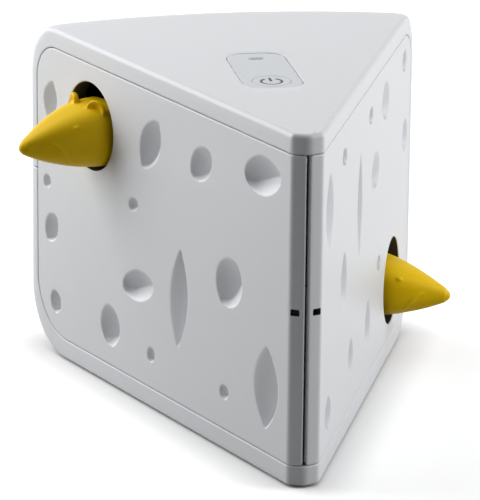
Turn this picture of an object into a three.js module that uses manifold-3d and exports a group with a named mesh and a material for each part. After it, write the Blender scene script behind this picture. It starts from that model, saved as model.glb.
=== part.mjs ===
// Automatic cheese cat toy: a wedge-shaped housing with two mouse heads that swing out of its walls.
// Millimetres, +Z up. The front edge of the wedge points along -Y and the curved rind faces +Y.
import * as THREE from "three";
import { mergeVertices } from "three/addons/utils/BufferGeometryUtils.js";
import Module from "manifold-3d";

const wasm = await Module();
wasm.setup();

// Housing sizes
const degree = Math.PI / 180;
const bodyHeight = 160;
const wedgeAngle = 44 * degree;
const wallLength = 253;
const rindRadius = 305;
const apexRadius = 9;
const rindCornerRadius = 8;
const rindTopRound = 24;
const rindBottomRound = 30;
const edgeFillet = 2.2;
const skinWall = 2.8;
const partingHeight = 88;
const overrun = 5;

// Side panel sizes
const rimHeight = 9.5;
const rindStripWidth = 12;
const panelTopCorner = 17;
const panelBottomCorner = 27;
const seamGap = 0.4;
const seatGap = 0.3;
const lipWall = 2;
const lipOverlap = 4;
const lipRoot = 3;
const holeRadius = 21;
const collarWall = 2;
const collarDepth = 8;
const leftHoleDrop = 39;
const rightHoleLevel = 37;
const dentDepth = 3.4;
const dentWall = 1.7;
const dentSteps = 4;
const dentSides = 8;
const windowSteps = 3;
const slotWidth = 4;
const slotHeight = 3;
const slotCornerDistance = 17;
const slotLevel = 81;

// Mouse head sizes
const headLength = 48.5;
const headHalfWidth = 17.5;
const headHalfHeight = 15.5;
const headWall = 2;
const noseRadius = 3.1;
const earRadius = 6;
const earThickness = 3;
const earSpread = 9.5;
const earSetback = 7.5;
const earLift = 11.5;
const earTilt = 24 * degree;
const headTilt = 6 * degree;
const headInset = 8;
const headDrop = 3;
const rightRest = 8 * degree;

// Swing arm sizes
const armReach = 85;
const pivotInset = 22;
const swingRange = 29 * degree;
const armThickness = 7;
const armHeight = 8;
const armOverhang = 7;
const hubRadius = 7.5;
const flangeThickness = 3;
const flangeShrink = 1.2;
const bossWidth = 13;
const keyRadius = 5.6;
const keyHalfWidth = 4.8;
const headScrewLength = 22;
const headPostRadius = 3.2;
const headPostLength = 13;
const headPostSetback = 1;
const shaftRadius = 2;
const bushWall = 1.3;
const runningGap = 0.3;

// Drive sizes
const gearModule = 1;
const pinionTeeth = 10;
const idlerTeeth = 24;
const sectorTeeth = 48;
const sectorToothCount = 7;
const gearThickness = 4;
const sectorThickness = 5;
const gearSpacing = 0.6;
const deckClearance = 1.5;
const gearBacklash = 0.45;
const pressureAngle = 25 * degree;
const gearAddendum = 0.85;
const gearDedendum = 1.2;
const idlerPinRadius = 1.2;
const pinHeadRadius = 2.4;
const pinHeadThickness = 1;
const armLevel = 22;
const hubEndLevel = 29;
const motorRadius = 7.6;
const motorGap = 1.8;
const motorLength = 23.5;
const motorShaftRadius = 1;
const motorNeckRadius = 3;
const motorNeckLength = 1.2;
const motorFlat = 5.9;
const socketWall = 1.5;
const socketHeight = 8;
const leftMotorSetback = 3.9;
const rightMotorSetback = 11.1;
const terminalSize = 1.2;
const terminalLength = 2;

// Decks, posts and screws
const deckThickness = 2.5;
const lowerDeckLevel = 60.5;
const deckInset = 7;
const deckForward = 11.5;
const deckLength = 90;
const postRadius = 4;
const screwRadius = 1.4;
const screwHeadRadius = 2.8;
const screwHeadHeight = 1.8;
const deckScrewLength = 9;
const caseScrewLength = 16;
const casePostRadius = 5.2;
const casePostSetback = 27.4;
const counterboreRadius = 3.4;
const caseScrewGrip = 9;

// Control sizes
const padWidth = 27;
const padLength = 60;
const padCorner = 9;
const padThickness = 1.1;
const padSink = 0.2;
const padCentre = 122;
const padGap = 0.35;
const buttonCentre = 104;
const buttonRadius = 8.6;
const buttonGap = 0.35;
const buttonTravel = 0.8;
const buttonFlange = 1.6;
const buttonFlangeThickness = 1.2;
const stemRadius = 2.4;
const lightCentre = 143;
const lightLength = 6.4;
const lightWidth = 2.8;
const boardWidth = 22;
const boardLength = 66;
const boardThickness = 1.6;
const boardDrop = 14;
const boardPostRadius = 2.6;
const boardScrewRadius = 0.9;
const switchSize = 6;
const switchHeight = 3.4;
const chipSize = 9;
const chipHeight = 1.8;
const emitterRadius = 1.5;
const emitterHeight = 3.2;
const socketSize = 5;

// Battery sizes
const cellRadius = 7.1;
const cellLength = 50;
const cellNubRadius = 2.7;
const cellNubLength = 1.2;
const cellCount = 3;
const cellGap = 0.6;
const boxWall = 1.4;
const springLength = 2.8;
const contactThickness = 0.5;
const boxCentreX = -24;
const boxFront = 143;
const doorGap = 0.4;
const hingeRadius = 0.8;
const barrelRadius = 2.2;
const doorScrewSetback = 4.8;
const doorScrewLength = 5;
const doorTabHalf = 4.2;
const doorBossWall = 2.5;
const hingePinOverlap = 3.5;

// Feet and leads
const footRadius = 5.5;
const footThickness = 2.2;
const footProud = 1;
const leadRadius = 0.8;
const leadSpacing = 4;

// Facet counts
const outerSteps = { apex: 6, corner: 3, rind: 10, round: 5 };
const innerSteps = { apex: 3, corner: 2, rind: 6, round: 3 };
const arcSteps = 2;
const screwSides = 8;
const pinSides = 10;
const smallSides = 12;
const wideSides = 20;
const headSides = 16;
const noseSteps = 6;
const leadSteps = 3;
const hollowStations = 6;
const webStations = 7;

// Places that follow from the sizes above
const halfAngle = wedgeAngle / 2;
const sinHalf = Math.sin(halfAngle);
const cosHalf = Math.cos(halfAngle);
const apexCentreY = apexRadius / sinHalf;
const apexFrontY = apexCentreY - apexRadius;
const rindCentreY = wallLength * cosHalf - Math.sqrt(rindRadius ** 2 - (wallLength * sinHalf) ** 2);
const windowEnd = wallLength - rindStripWidth;
const windowTop = bodyHeight - rimHeight;
const roofUnderside = bodyHeight - skinWall;
const boardLevel = bodyHeight - boardDrop;

// The motors stand side by side between the decks, as far forward as the walls let them
const upperDeckLevel = lowerDeckLevel + deckThickness + motorLength + terminalLength + deckClearance;
const motorX = motorRadius + motorGap / 2;
const socketRadius = motorRadius + seatGap + socketWall;
const motorFront = (motorX + socketRadius) / Math.tan(halfAngle) + (skinWall + seatGap + lipWall) / sinHalf;
const deckFront = motorFront + leftMotorSetback - socketRadius - deckForward;
const deckBack = deckFront + deckLength;

// Both sides share one layout. The left one is mirrored, and its gears lie above its deck, not below.
const sides = {
  left: {
    name: "left", sign: -1, level: bodyHeight - leftHoleDrop, rest: 0, up: 1,
    face: upperDeckLevel + deckThickness, motorY: motorFront + leftMotorSetback, roof: roofUnderside,
  },
  right: {
    name: "right", sign: 1, level: rightHoleLevel, rest: rightRest, up: -1,
    face: lowerDeckLevel, motorY: motorFront + rightMotorSetback, roof: skinWall,
  },
};

// Dents in each wall: place along the wall, level, width and height as shares of the wall's length and
// the body's height, then how pointed the ends are and how far the dent leans.
const leftDentShares = [
  [0.905, 0.78, 0.042, 0.128, 0.9, 0.05], [0.546, 0.79, 0.07, 0.15, 0.75, -0.25],
  [0.368, 0.806, 0.066, 0.1, 0.6, 0.2], [0.17, 0.85, 0.106, 0.118, 0.6, 0.25],
  [0.6, 0.588, 0.032, 0.044, 0.5, 0], [0.915, 0.525, 0.026, 0.044, 0.5, 0],
  [0.9, 0.388, 0.055, 0.088, 0.6, 0], [0.585, 0.35, 0.096, 0.094, 0.6, 0.2],
  [0.439, 0.375, 0.06, 0.285, 1, 0], [0.273, 0.506, 0.084, 0.135, 0.6, 0.1],
  [0.688, 0.194, 0.072, 0.115, 0.6, 0.1], [0.885, 0.165, 0.038, 0.07, 0.6, 0],
  [0.534, 0.163, 0.032, 0.044, 0.5, 0], [0.285, 0.169, 0.032, 0.044, 0.5, 0],
  [0.15, 0.263, 0.08, 0.24, 0.9, 0.03],
];
const rightDentShares = [
  [0.88, 0.869, 0.045, 0.07, 0.6, 0], [0.68, 0.831, 0.075, 0.12, 0.7, 0.15],
  [0.53, 0.85, 0.04, 0.05, 0.5, 0], [0.9, 0.631, 0.055, 0.1, 0.7, 0],
  [0.273, 0.844, 0.045, 0.05, 0.5, 0], [0.585, 0.663, 0.08, 0.12, 0.7, 0.2],
  [0.138, 0.75, 0.066, 0.22, 0.9, 0], [0.431, 0.631, 0.045, 0.31, 1, 0],
  [0.285, 0.481, 0.055, 0.16, 0.8, 0], [0.64, 0.356, 0.04, 0.045, 0.5, 0],
  [0.534, 0.225, 0.05, 0.145, 0.8, 0], [0.364, 0.213, 0.048, 0.11, 0.7, 0],
  [0.15, 0.163, 0.055, 0.1, 0.7, 0],
];

// Mouse head stations: share of the length, then shares of the half width and half height there,
// and how far the middle has dropped, as a share of the half height.
const headStationShares = [
  [0, 1, 1, 0], [0.1, 1, 1, 0.01], [0.25, 0.93, 0.93, 0.03], [0.42, 0.78, 0.79, 0.05],
  [0.6, 0.57, 0.6, 0.06], [0.76, 0.37, 0.42, 0.05], [0.89, 0.22, 0.26, 0.02], [0.955, 0.14, 0.16, 0],
];

// Solids from three.js geometry
function solid(geometry) {
  const bare = geometry.clone();
  bare.deleteAttribute("normal");
  bare.deleteAttribute("uv");
  const merged = mergeVertices(bare, 1e-4);
  const vertProperties = Float32Array.from(merged.attributes.position.array);
  const triVerts = Uint32Array.from(merged.index.array);
  return new wasm.Manifold(new wasm.Mesh({ numProp: 3, vertProperties, triVerts }));
}

function geometryOf(manifold) {
  const mesh = manifold.getMesh();
  const geometry = new THREE.BufferGeometry();
  geometry.setAttribute("position", new THREE.BufferAttribute(Float32Array.from(mesh.vertProperties), 3));
  geometry.setIndex(new THREE.BufferAttribute(Uint32Array.from(mesh.triVerts), 1));
  return geometry;
}

function joined(pieces) {
  return pieces.reduce((sum, piece) => sum.add(piece));
}

function mirrored(manifold) {
  const mesh = manifold.getMesh();
  const flip = (value, i) => (i % 3 === 0 ? -value : value);
  const vertProperties = Float32Array.from(mesh.vertProperties, flip);
  const triVerts = Uint32Array.from(mesh.triVerts);
  for (let i = 0; i < triVerts.length; i += 3) {
    [triVerts[i], triVerts[i + 1]] = [triVerts[i + 1], triVerts[i]];
  }
  return new wasm.Manifold(new wasm.Mesh({ numProp: 3, vertProperties, triVerts }));
}

function onSide(side, manifold) {
  return side.sign < 0 ? mirrored(manifold) : manifold;
}

function block(x0, x1, y0, y1, z0, z1) {
  const box = new THREE.BoxGeometry(x1 - x0, y1 - y0, z1 - z0);
  return solid(box.translate((x0 + x1) / 2, (y0 + y1) / 2, (z0 + z1) / 2));
}

function rodGeometry(radius, length, sideCount) {
  return new THREE.CylinderGeometry(radius, radius, length, sideCount).rotateX(Math.PI / 2);
}

function rod(radius, x, y, z0, z1, sideCount = smallSides) {
  return solid(rodGeometry(radius, z1 - z0, sideCount).translate(x, y, (z0 + z1) / 2));
}

function tube(inner, outer, x, y, z0, z1, sideCount = smallSides) {
  const bore = rod(inner, x, y, z0 - overrun, z1 + overrun, sideCount);
  return rod(outer, x, y, z0, z1, sideCount).subtract(bore);
}

function turned(profile, sideCount, x, y, z) {
  const points = profile.map(([radius, level]) => new THREE.Vector2(radius, level));
  return solid(new THREE.LatheGeometry(points, sideCount).rotateX(Math.PI / 2).translate(x, y, z));
}

function extruded(shape, z0, z1, curveSegments = arcSteps) {
  const geometry = new THREE.ExtrudeGeometry(shape, { depth: z1 - z0, bevelEnabled: false, curveSegments });
  return solid(geometry.translate(0, 0, z0));
}

function roundedRectangle(width, length, corner, centreX, centreY) {
  const shape = new THREE.Shape();
  const [x, y] = [width / 2 - corner, length / 2 - corner];
  shape.absarc(centreX + x, centreY - y, corner, -Math.PI / 2, 0);
  shape.absarc(centreX + x, centreY + y, corner, 0, Math.PI / 2);
  shape.absarc(centreX - x, centreY + y, corner, Math.PI / 2, Math.PI);
  shape.absarc(centreX - x, centreY - y, corner, Math.PI, 1.5 * Math.PI);
  shape.closePath();
  return shape;
}

// A closed surface through rings that all have the same number of points
function stacked(rings) {
  const count = rings[0].length;
  const positions = [];
  rings.forEach((ring) => ring.forEach((point) => positions.push(point.x, point.y, point.z)));
  const ends = [rings[0], rings[rings.length - 1]].map((ring) => {
    const centre = new THREE.Vector3();
    ring.forEach((point) => centre.add(point));
    centre.divideScalar(count);
    positions.push(centre.x, centre.y, centre.z);
    return positions.length / 3 - 1;
  });
  const faces = [];
  for (let level = 0; level < rings.length - 1; level += 1) {
    for (let i = 0; i < count; i += 1) {
      const next = (i + 1) % count;
      const [a, b] = [level * count + i, level * count + next];
      faces.push(a, b, b + count, a, b + count, a + count);
    }
  }
  const last = (rings.length - 1) * count;
  for (let i = 0; i < count; i += 1) {
    const next = (i + 1) % count;
    faces.push(ends[0], next, i);
    faces.push(ends[1], last + i, last + next);
  }
  const geometry = new THREE.BufferGeometry();
  geometry.setAttribute("position", new THREE.BufferAttribute(Float32Array.from(positions), 3));
  geometry.setIndex(faces);
  return solid(geometry);
}

// Wedge outline in plan, drawn in by inset all round and by drop on the rind alone
function wedgeOutline(inset, drop, steps) {
  const points = [];
  const arc = (x, y, radius, from, to, count) => {
    for (let i = 0; i <= count; i += 1) {
      const angle = from + ((to - from) * i) / count;
      points.push(new THREE.Vector2(x + radius * Math.cos(angle), y + radius * Math.sin(angle)));
    }
  };
  const corner = Math.max(rindCornerRadius - inset, rindCornerRadius / 4);
  const fromWall = inset + corner;
  const reach = rindRadius - drop - inset - corner;
  const [bx, by] = [-cosHalf * fromWall, sinHalf * fromWall - rindCentreY];
  const along = sinHalf * bx + cosHalf * by;
  const distance = -along + Math.sqrt(along ** 2 - bx ** 2 - by ** 2 + reach ** 2);
  const cornerX = sinHalf * distance - cosHalf * fromWall;
  const cornerY = cosHalf * distance + sinHalf * fromWall;
  const turn = Math.atan2(cornerY - rindCentreY, cornerX);
  arc(0, apexCentreY, apexRadius - inset, halfAngle - Math.PI, -halfAngle, steps.apex);
  arc(cornerX, cornerY, corner, -halfAngle, turn, steps.corner);
  arc(0, rindCentreY, reach + corner, turn, Math.PI - turn, steps.rind);
  arc(-cornerX, cornerY, corner, Math.PI - turn, Math.PI + halfAngle, steps.corner);
  return points.filter((point, i) => i === 0 || point.distanceTo(points[i - 1]) > 1e-3 * skinWall);
}

// The whole housing as one body, shrunk by inset on every side
function housing(inset) {
  const steps = inset > 0 ? innerSteps : outerSteps;
  const low = inset;
  const high = bodyHeight - inset;
  const bottom = rindBottomRound - inset;
  const top = rindTopRound - inset;
  const fillet = Math.max(edgeFillet - inset, 0);
  const levels = new Set();
  for (let i = 0; i <= steps.round; i += 1) {
    const angle = (Math.PI / 2) * (i / steps.round);
    levels.add(low + bottom * (1 - Math.cos(angle)));
    levels.add(high - top * (1 - Math.cos(angle)));
    if (fillet > 0 && i % 2 === 1) levels.add(high - fillet * (1 - Math.cos(angle)));
  }
  const ordered = [...levels].sort((a, b) => a - b);
  const rings = ordered.filter((z, i) => i === 0 || z - ordered[i - 1] > 1e-3 * skinWall).map((z) => {
    const below = Math.max(low + bottom - z, 0);
    const above = Math.max(z - high + top, 0);
    const edge = Math.max(z - high + fillet, 0);
    const drop = bottom - Math.sqrt(Math.max(bottom ** 2 - below ** 2, 0))
      + top - Math.sqrt(Math.max(top ** 2 - above ** 2, 0));
    const draw = fillet - Math.sqrt(Math.max(fillet ** 2 - edge ** 2, 0));
    return wedgeOutline(inset + draw, drop, steps).map((point) => new THREE.Vector3(point.x, point.y, z));
  });
  return stacked(rings);
}

// Places on the right wall: distance from the apex along it, distance out from it, and level
function wallPlace(along, out) {
  return new THREE.Vector2(sinHalf * along + cosHalf * out, cosHalf * along - sinHalf * out);
}

const wallFrame = new THREE.Matrix4().makeBasis(
  new THREE.Vector3(sinHalf, cosHalf, 0),
  new THREE.Vector3(0, 0, 1),
  new THREE.Vector3(cosHalf, -sinHalf, 0),
);

function fromWall(geometry) {
  return solid(geometry.applyMatrix4(wallFrame));
}

// A prism through the right wall over the panel's opening, wider by grow
function windowPrism(grow) {
  const shape = new THREE.Shape();
  const [low, high] = [rimHeight - grow, windowTop + grow];
  const end = windowEnd + grow;
  const [bottom, top] = [panelBottomCorner + grow, panelTopCorner + grow];
  shape.moveTo(-wallLength / 8, low);
  shape.lineTo(end - bottom, low);
  shape.absarc(end - bottom, low + bottom, bottom, -Math.PI / 2, 0);
  shape.absarc(end - top, high - top, top, 0, Math.PI / 2);
  shape.lineTo(-wallLength / 8, high);
  shape.closePath();
  const inward = apexRadius + overrun / 2;
  const geometry = new THREE.ExtrudeGeometry(shape, {
    depth: inward + overrun, bevelEnabled: false, curveSegments: windowSteps,
  });
  return fromWall(geometry.translate(0, 0, -inward));
}

// A scooped dent on the right wall: a flattened body of revolution with rounded or pointed ends
function dent([along, up, wide, tall, point, lean], grow) {
  const halfWide = (wide * wallLength) / 2;
  const halfTall = (tall * bodyHeight) / 2;
  const depth = Math.min(dentDepth, halfWide * 0.8);
  const profile = [];
  for (let i = 0; i <= dentSteps; i += 1) {
    const angle = Math.PI * (i / dentSteps);
    const radius = i === 0 || i === dentSteps ? 0 : Math.sin(angle) ** (2 * point);
    profile.push(new THREE.Vector2(radius, -Math.cos(angle)));
  }
  const geometry = new THREE.LatheGeometry(profile, dentSides);
  geometry.scale(halfWide + grow, halfTall + grow, depth + grow);
  geometry.rotateZ(lean);
  return fromWall(geometry.translate(along * wallLength, up * bodyHeight, 0));
}

// The layers that the shells and panels are cut from
const outerBody = housing(0);
const skin = outerBody.subtract(housing(skinWall));
const lipLayer = housing(skinWall + seatGap).subtract(housing(skinWall + seatGap + lipWall));
const thickLayer = outerBody.subtract(housing(skinWall + seatGap + lipWall));
const reachAll = 2 * wallLength;

function windowPair(grow) {
  return windowPrism(grow).add(mirrored(windowPrism(grow)));
}

// The strip along the edge of both openings, from one outline to a smaller one
function band(from, to) {
  return windowPair(from).subtract(windowPair(to));
}

function panel(side, dentShares) {
  const seamEdge = block(seamGap / 2, reachAll, -reachAll, reachAll, -reachAll, reachAll);
  let wall = skin.intersect(windowPrism(0)).intersect(seamEdge);
  const inside = housing(skinWall / 2).intersect(windowPrism(-lipOverlap - seamGap)).intersect(
    block(casePostRadius + seatGap, reachAll, apexCentreY, reachAll, -reachAll, reachAll),
  );
  const bumps = dentShares.map((share) => dent(share, dentWall).intersect(inside));
  const scoops = dentShares.map((share) => dent(share, 0));
  const round = (radius, from, to) => fromWall(
    new THREE.CylinderGeometry(radius, radius, to - from, wideSides).rotateX(Math.PI / 2)
      .translate(side.hole, side.level, (from + to) / 2),
  );
  wall = wall.add(joined(bumps)).add(round(holeRadius + collarWall, -collarDepth, -skinWall / 2));
  wall = wall.subtract(joined(scoops)).subtract(round(holeRadius, -collarDepth - overrun, overrun));
  const slot = new THREE.BoxGeometry(slotWidth, slotHeight, 2 * apexRadius);
  return onSide(side, wall.subtract(fromWall(slot.translate(slotCornerDistance, slotLevel, 0))));
}

// Places of the decks' posts, in plan
const deckPosts = [
  new THREE.Vector2(0, deckFront + 1.5 * postRadius),
  wallPlace(deckBack - postRadius, -2.6 * postRadius),
  wallPlace(deckBack - 3 * postRadius, -2.6 * postRadius),
];
deckPosts[2].x *= -1;

// Places of a drive's axles, in plan, drawn for the right side
const sectorRadius = (gearModule * sectorTeeth) / 2;
const pinionRadius = (gearModule * pinionTeeth) / 2;
const idlerRadius = (gearModule * idlerTeeth) / 2;
const firstCentres = sectorRadius + pinionRadius;
const secondCentres = idlerRadius + pinionRadius;

// The pivot lies on a line beside the wall, as far from the motor as the gears set
function axles(side) {
  const motor = new THREE.Vector2(motorX, side.motorY);
  const centres = firstCentres + secondCentres;
  const start = wallPlace(0, -pivotInset);
  const along = (motor.x - start.x) * sinHalf + (motor.y - start.y) * cosHalf;
  const nearest = wallPlace(along, -pivotInset);
  const pivotPlace = along + Math.sqrt(centres ** 2 - nearest.distanceToSquared(motor));
  const pivot = wallPlace(pivotPlace, -pivotInset);
  const idler = pivot.clone().lerp(motor, firstCentres / centres);
  return { pivot, motor, idler, pivotPlace };
}

// The middle of each hole is where the arm reaches to when it is fully out
Object.values(sides).forEach((side) => {
  side.hole = axles(side).pivotPlace + armReach;
});

// Places of the case posts, in plan, two of them beyond the holes
const postPlace = Math.max(sides.left.hole, sides.right.hole) + casePostSetback;
const casePosts = [
  new THREE.Vector2(0, apexCentreY + casePostRadius + skinWall + seatGap),
  wallPlace(postPlace, -2.5 * casePostRadius),
  wallPlace(postPlace, -2.5 * casePostRadius),
];
casePosts[2].x *= -1;

function levels(side, from, to) {
  const ends = [side.face + side.up * from, side.face + side.up * to];
  return ends.sort((a, b) => a - b);
}

const pinionLevels = [deckClearance, deckClearance + gearThickness];
const sectorLevels = [pinionLevels[1] + gearSpacing, pinionLevels[1] + gearSpacing + sectorThickness];
const hubLevels = [sectorLevels[1] + runningGap, hubEndLevel];

// Upper and lower shells
function shellBase(z0, z1) {
  const half = block(-reachAll, reachAll, -reachAll, reachAll, z0, z1);
  const lips = lipLayer.intersect(band(lipRoot, -lipOverlap));
  const roots = thickLayer.intersect(band(lipRoot, seamGap));
  const spine = lipLayer.intersect(
    block(-apexRadius, apexRadius, 0, apexCentreY, rimHeight - lipRoot, windowTop + lipRoot),
  );
  return joined([skin.subtract(windowPair(seamGap)), lips, roots, spine]).intersect(half);
}

function upperShell() {
  let shell = shellBase(partingHeight + seamGap / 2, bodyHeight + overrun);
  const inside = housing(skinWall / 2);
  const buried = roofUnderside + skinWall / 2;
  const posts = casePosts.map((place) => tube(
    screwRadius + runningGap, postRadius, place.x, place.y, partingHeight + seatGap, buried,
  ).add(rod(postRadius, place.x, place.y, partingHeight + caseScrewLength, buried)));
  const pivot = axles(sides.left).pivot;
  const bossEnd = sides.left.face + hubEndLevel + runningGap;
  const boss = tube(
    shaftRadius + runningGap, shaftRadius + bushWall + skinWall / 2, -pivot.x, pivot.y, bossEnd, buried,
  );
  const boardSeats = boardPostPlaces.map((place) => tube(
    boardScrewRadius + runningGap / 2, boardPostRadius, place.x, place.y,
    boardLevel + boardThickness, buried, screwSides,
  ));
  shell = shell.add(joined([...posts, boss, ...boardSeats]).intersect(inside));
  const recess = roundedRectangle(
    padWidth + 2 * padGap, padLength + 2 * padGap, padCorner + padGap, 0, padCentre,
  );
  const recessFloor = bodyHeight - padSink - padThickness;
  shell = shell.subtract(extruded(recess, recessFloor, bodyHeight + overrun));
  const buttonHole = rod(
    buttonRadius + buttonGap, 0, buttonCentre, roofUnderside - overrun, bodyHeight + overrun, wideSides,
  );
  const lightHole = lightShape(seatGap, roofUnderside - overrun, bodyHeight + overrun);
  return shell.subtract(buttonHole).subtract(lightHole);
}

function lowerShell() {
  const shell = shellBase(-overrun, partingHeight - seamGap / 2);
  const inside = housing(skinWall / 2);
  const tongueHalf = casePosts[1].x - 2 * casePostRadius;
  const tongueBlock = (from, to) => block(-tongueHalf, tongueHalf, 0.85 * wallLength, reachAll, from, to);
  const tongue = lipLayer.intersect(tongueBlock(partingHeight - lipOverlap, partingHeight + lipOverlap));
  const root = thickLayer.intersect(tongueBlock(
    partingHeight - lipOverlap - lipRoot, partingHeight - lipOverlap / 2,
  ));
  const posts = casePosts.map((place) => rod(
    casePostRadius, place.x, place.y, skinWall / 2, partingHeight - seatGap,
  ));
  const deckSeats = deckPosts.map((place) => rod(
    postRadius, place.x, place.y, skinWall / 2, lowerDeckLevel - seatGap,
  ));
  const pivot = axles(sides.right).pivot;
  const bossEnd = sides.right.face - hubEndLevel - runningGap;
  const boss = tube(
    shaftRadius + runningGap, shaftRadius + bushWall + skinWall / 2, pivot.x, pivot.y, skinWall / 2, bossEnd,
  );
  const fittings = joined([...posts, ...deckSeats, boss, ...hingeLugs(), doorScrewBoss()]).intersect(inside);
  const bores = casePosts.map((place) => rod(
    screwRadius + runningGap, place.x, place.y, -overrun, partingHeight + overrun, screwSides,
  ));
  const counterbores = casePosts.map((place) => rod(
    counterboreRadius, place.x, place.y, -overrun, partingHeight - caseScrewGrip,
  ));
  const deckBores = deckPosts.map((place) => rod(
    screwRadius + runningGap, place.x, place.y,
    lowerDeckLevel - deckScrewLength - runningGap, lowerDeckLevel + overrun, screwSides,
  ));
  const footSeats = footPlaces.map((place) => rod(
    footRadius + seatGap, place.x, place.y, -overrun, footThickness - footProud,
  ));
  return joined([shell, tongue, root, fittings]).subtract(joined([
    ...bores, ...counterbores, ...deckBores, ...footSeats, doorOpening(), hingeBore(), doorScrewBore(),
  ]));
}

const footPlaces = [
  new THREE.Vector2(0, apexFrontY + skinWall + 2.2 * footRadius),
  wallPlace(windowEnd - 4.5 * casePostRadius - 3 * footRadius, -3 * footRadius),
  wallPlace(windowEnd - 4.5 * casePostRadius - 3 * footRadius, -3 * footRadius),
];
footPlaces[2].x *= -1;

function foot(place) {
  const profile = [
    [0, 0], [footRadius - footProud / 2, 0], [footRadius, footProud / 2],
    [footRadius, footThickness - seatGap], [0, footThickness - seatGap],
  ];
  return turned(profile, wideSides, place.x, place.y, -footProud);
}

// Battery bay in the base
const cellPitch = 2 * cellRadius + cellGap;
const boxInnerWidth = cellCount * cellPitch + cellGap;
const boxInnerLength = cellLength + springLength + 2 * contactThickness + 4 * seatGap;
const boxX = [boxCentreX - boxInnerWidth / 2 - boxWall, boxCentreX + boxInnerWidth / 2 + boxWall];
const boxY = [boxFront, boxFront + boxInnerLength + 2 * boxWall];
const cellLevel = 2 * barrelRadius + cellGap + cellRadius;
const boxTop = cellLevel + cellRadius + cellGap + boxWall;
const doorX = [boxX[0] + boxWall + doorGap, boxX[1] - boxWall - doorGap];
const doorMiddle = (doorX[0] + doorX[1]) / 2;
const doorWidth = doorX[1] - doorX[0];
const hingeY = boxY[0] + boxWall + barrelRadius + doorGap;
const lugTop = barrelRadius + hingeRadius + boxWall;
const doorBack = boxY[1] - boxWall - doorGap;
const doorScrewPlace = new THREE.Vector2(boxCentreX, boxY[1] + doorScrewSetback);
const doorTabBack = doorScrewPlace.y + doorTabHalf;

function doorOutline(gap, z0, z1) {
  const plate = block(doorX[0] - gap, doorX[1] + gap, hingeY, doorBack + gap, z0, z1);
  const tab = block(
    boxCentreX - doorTabHalf - gap, boxCentreX + doorTabHalf + gap, hingeY, doorTabBack + gap, z0, z1,
  );
  return plate.add(tab);
}

function doorOpening() {
  const grown = barrelRadius + doorGap;
  const barrel = crossRod(grown, doorWidth + 2 * doorGap);
  const slit = block(
    doorX[0] - doorGap, doorX[1] + doorGap, hingeY - grown, hingeY + doorGap, -overrun, barrelRadius,
  );
  return joined([doorOutline(doorGap, -overrun, skinWall + seatGap), barrel, slit]);
}

// A rod along the door's hinge line
function crossRod(radius, length) {
  const geometry = rodGeometry(radius, length, smallSides).rotateY(Math.PI / 2);
  return solid(geometry.translate(doorMiddle, hingeY, barrelRadius));
}

function hingeLugs() {
  return [doorX[0] - doorGap - hingePinOverlap, doorX[1] + doorGap].map((x) => block(
    x, x + hingePinOverlap, hingeY - barrelRadius, hingeY + barrelRadius, skinWall / 2, lugTop,
  ));
}

function hingeBore() {
  return crossRod(hingeRadius + runningGap / 2, doorWidth + 2 * (hingePinOverlap + doorGap) - seatGap);
}

function doorScrewBoss() {
  const { x, y } = doorScrewPlace;
  const reach = doorTabHalf + doorGap + doorBossWall;
  return block(x - reach, x + reach, y - postRadius, y + postRadius, skinWall / 2, doorBossTop);
}

const doorBossTop = skinWall + doorScrewLength + boxWall;

function doorScrewBore() {
  const { x, y } = doorScrewPlace;
  return rod(screwRadius + 2 * runningGap, x, y, -overrun, doorBossTop - boxWall + runningGap);
}

function batteryDoor() {
  const { x, y } = doorScrewPlace;
  return doorOutline(0, 0, skinWall).add(crossRod(barrelRadius, doorWidth)).subtract(joined([
    crossRod(hingeRadius + runningGap / 2, doorWidth + overrun),
    rod(screwRadius + runningGap, x, y, -overrun, skinWall + overrun),
    rod(screwHeadRadius + runningGap, x, y, -overrun, skinWall / 2),
  ]));
}

function hingePin() {
  return crossRod(hingeRadius, doorWidth + 2 * hingePinOverlap);
}

function screw(x, y, seat, length, up) {
  const shank = [seat, seat + up * length].sort((a, b) => a - b);
  const head = [seat, seat - up * screwHeadHeight].sort((a, b) => a - b);
  return rod(screwRadius, x, y, ...shank, screwSides).add(rod(screwHeadRadius, x, y, ...head));
}

function doorScrew() {
  const { x, y } = doorScrewPlace;
  const seat = skinWall / 2 - runningGap;
  return rod(screwHeadRadius, x, y, runningGap / 2, seat)
    .add(rod(screwRadius, x, y, seat / 2, doorScrewLength + seat, screwSides));
}

function batteryBox() {
  const outer = block(boxX[0], boxX[1], boxY[0], boxY[1], skinWall + seatGap, boxTop);
  const inner = block(
    boxX[0] + boxWall, boxX[1] - boxWall, boxY[0] + boxWall, boxY[1] - boxWall, -overrun, boxTop - boxWall,
  );
  const lugRoom = block(
    boxX[0] - overrun, boxX[1] + overrun, boxY[0] - overrun, hingeY + barrelRadius + seatGap,
    -overrun, lugTop + seatGap,
  );
  return outer.subtract(inner).subtract(lugRoom);
}

function cellPlaces() {
  const first = boxCentreX - ((cellCount - 1) / 2) * cellPitch;
  const place = (unused, i) => ({ x: first + i * cellPitch, flipped: i % 2 === 1 });
  return Array.from({ length: cellCount }, place);
}

function cell({ x, flipped }) {
  const profile = [
    [0, 0], [cellRadius, 0], [cellRadius, cellLength - cellNubLength],
    [cellNubRadius, cellLength - cellNubLength], [cellNubRadius, cellLength], [0, cellLength],
  ];
  const points = profile.map(([radius, level]) => new THREE.Vector2(radius, level - cellLength / 2));
  const geometry = new THREE.LatheGeometry(points, smallSides);
  if (flipped) geometry.rotateX(Math.PI);
  const slack = (flipped ? 0 : springLength) + contactThickness + 2 * seatGap;
  return solid(geometry.translate(x, boxY[0] + boxWall + slack + cellLength / 2, cellLevel));
}

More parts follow.
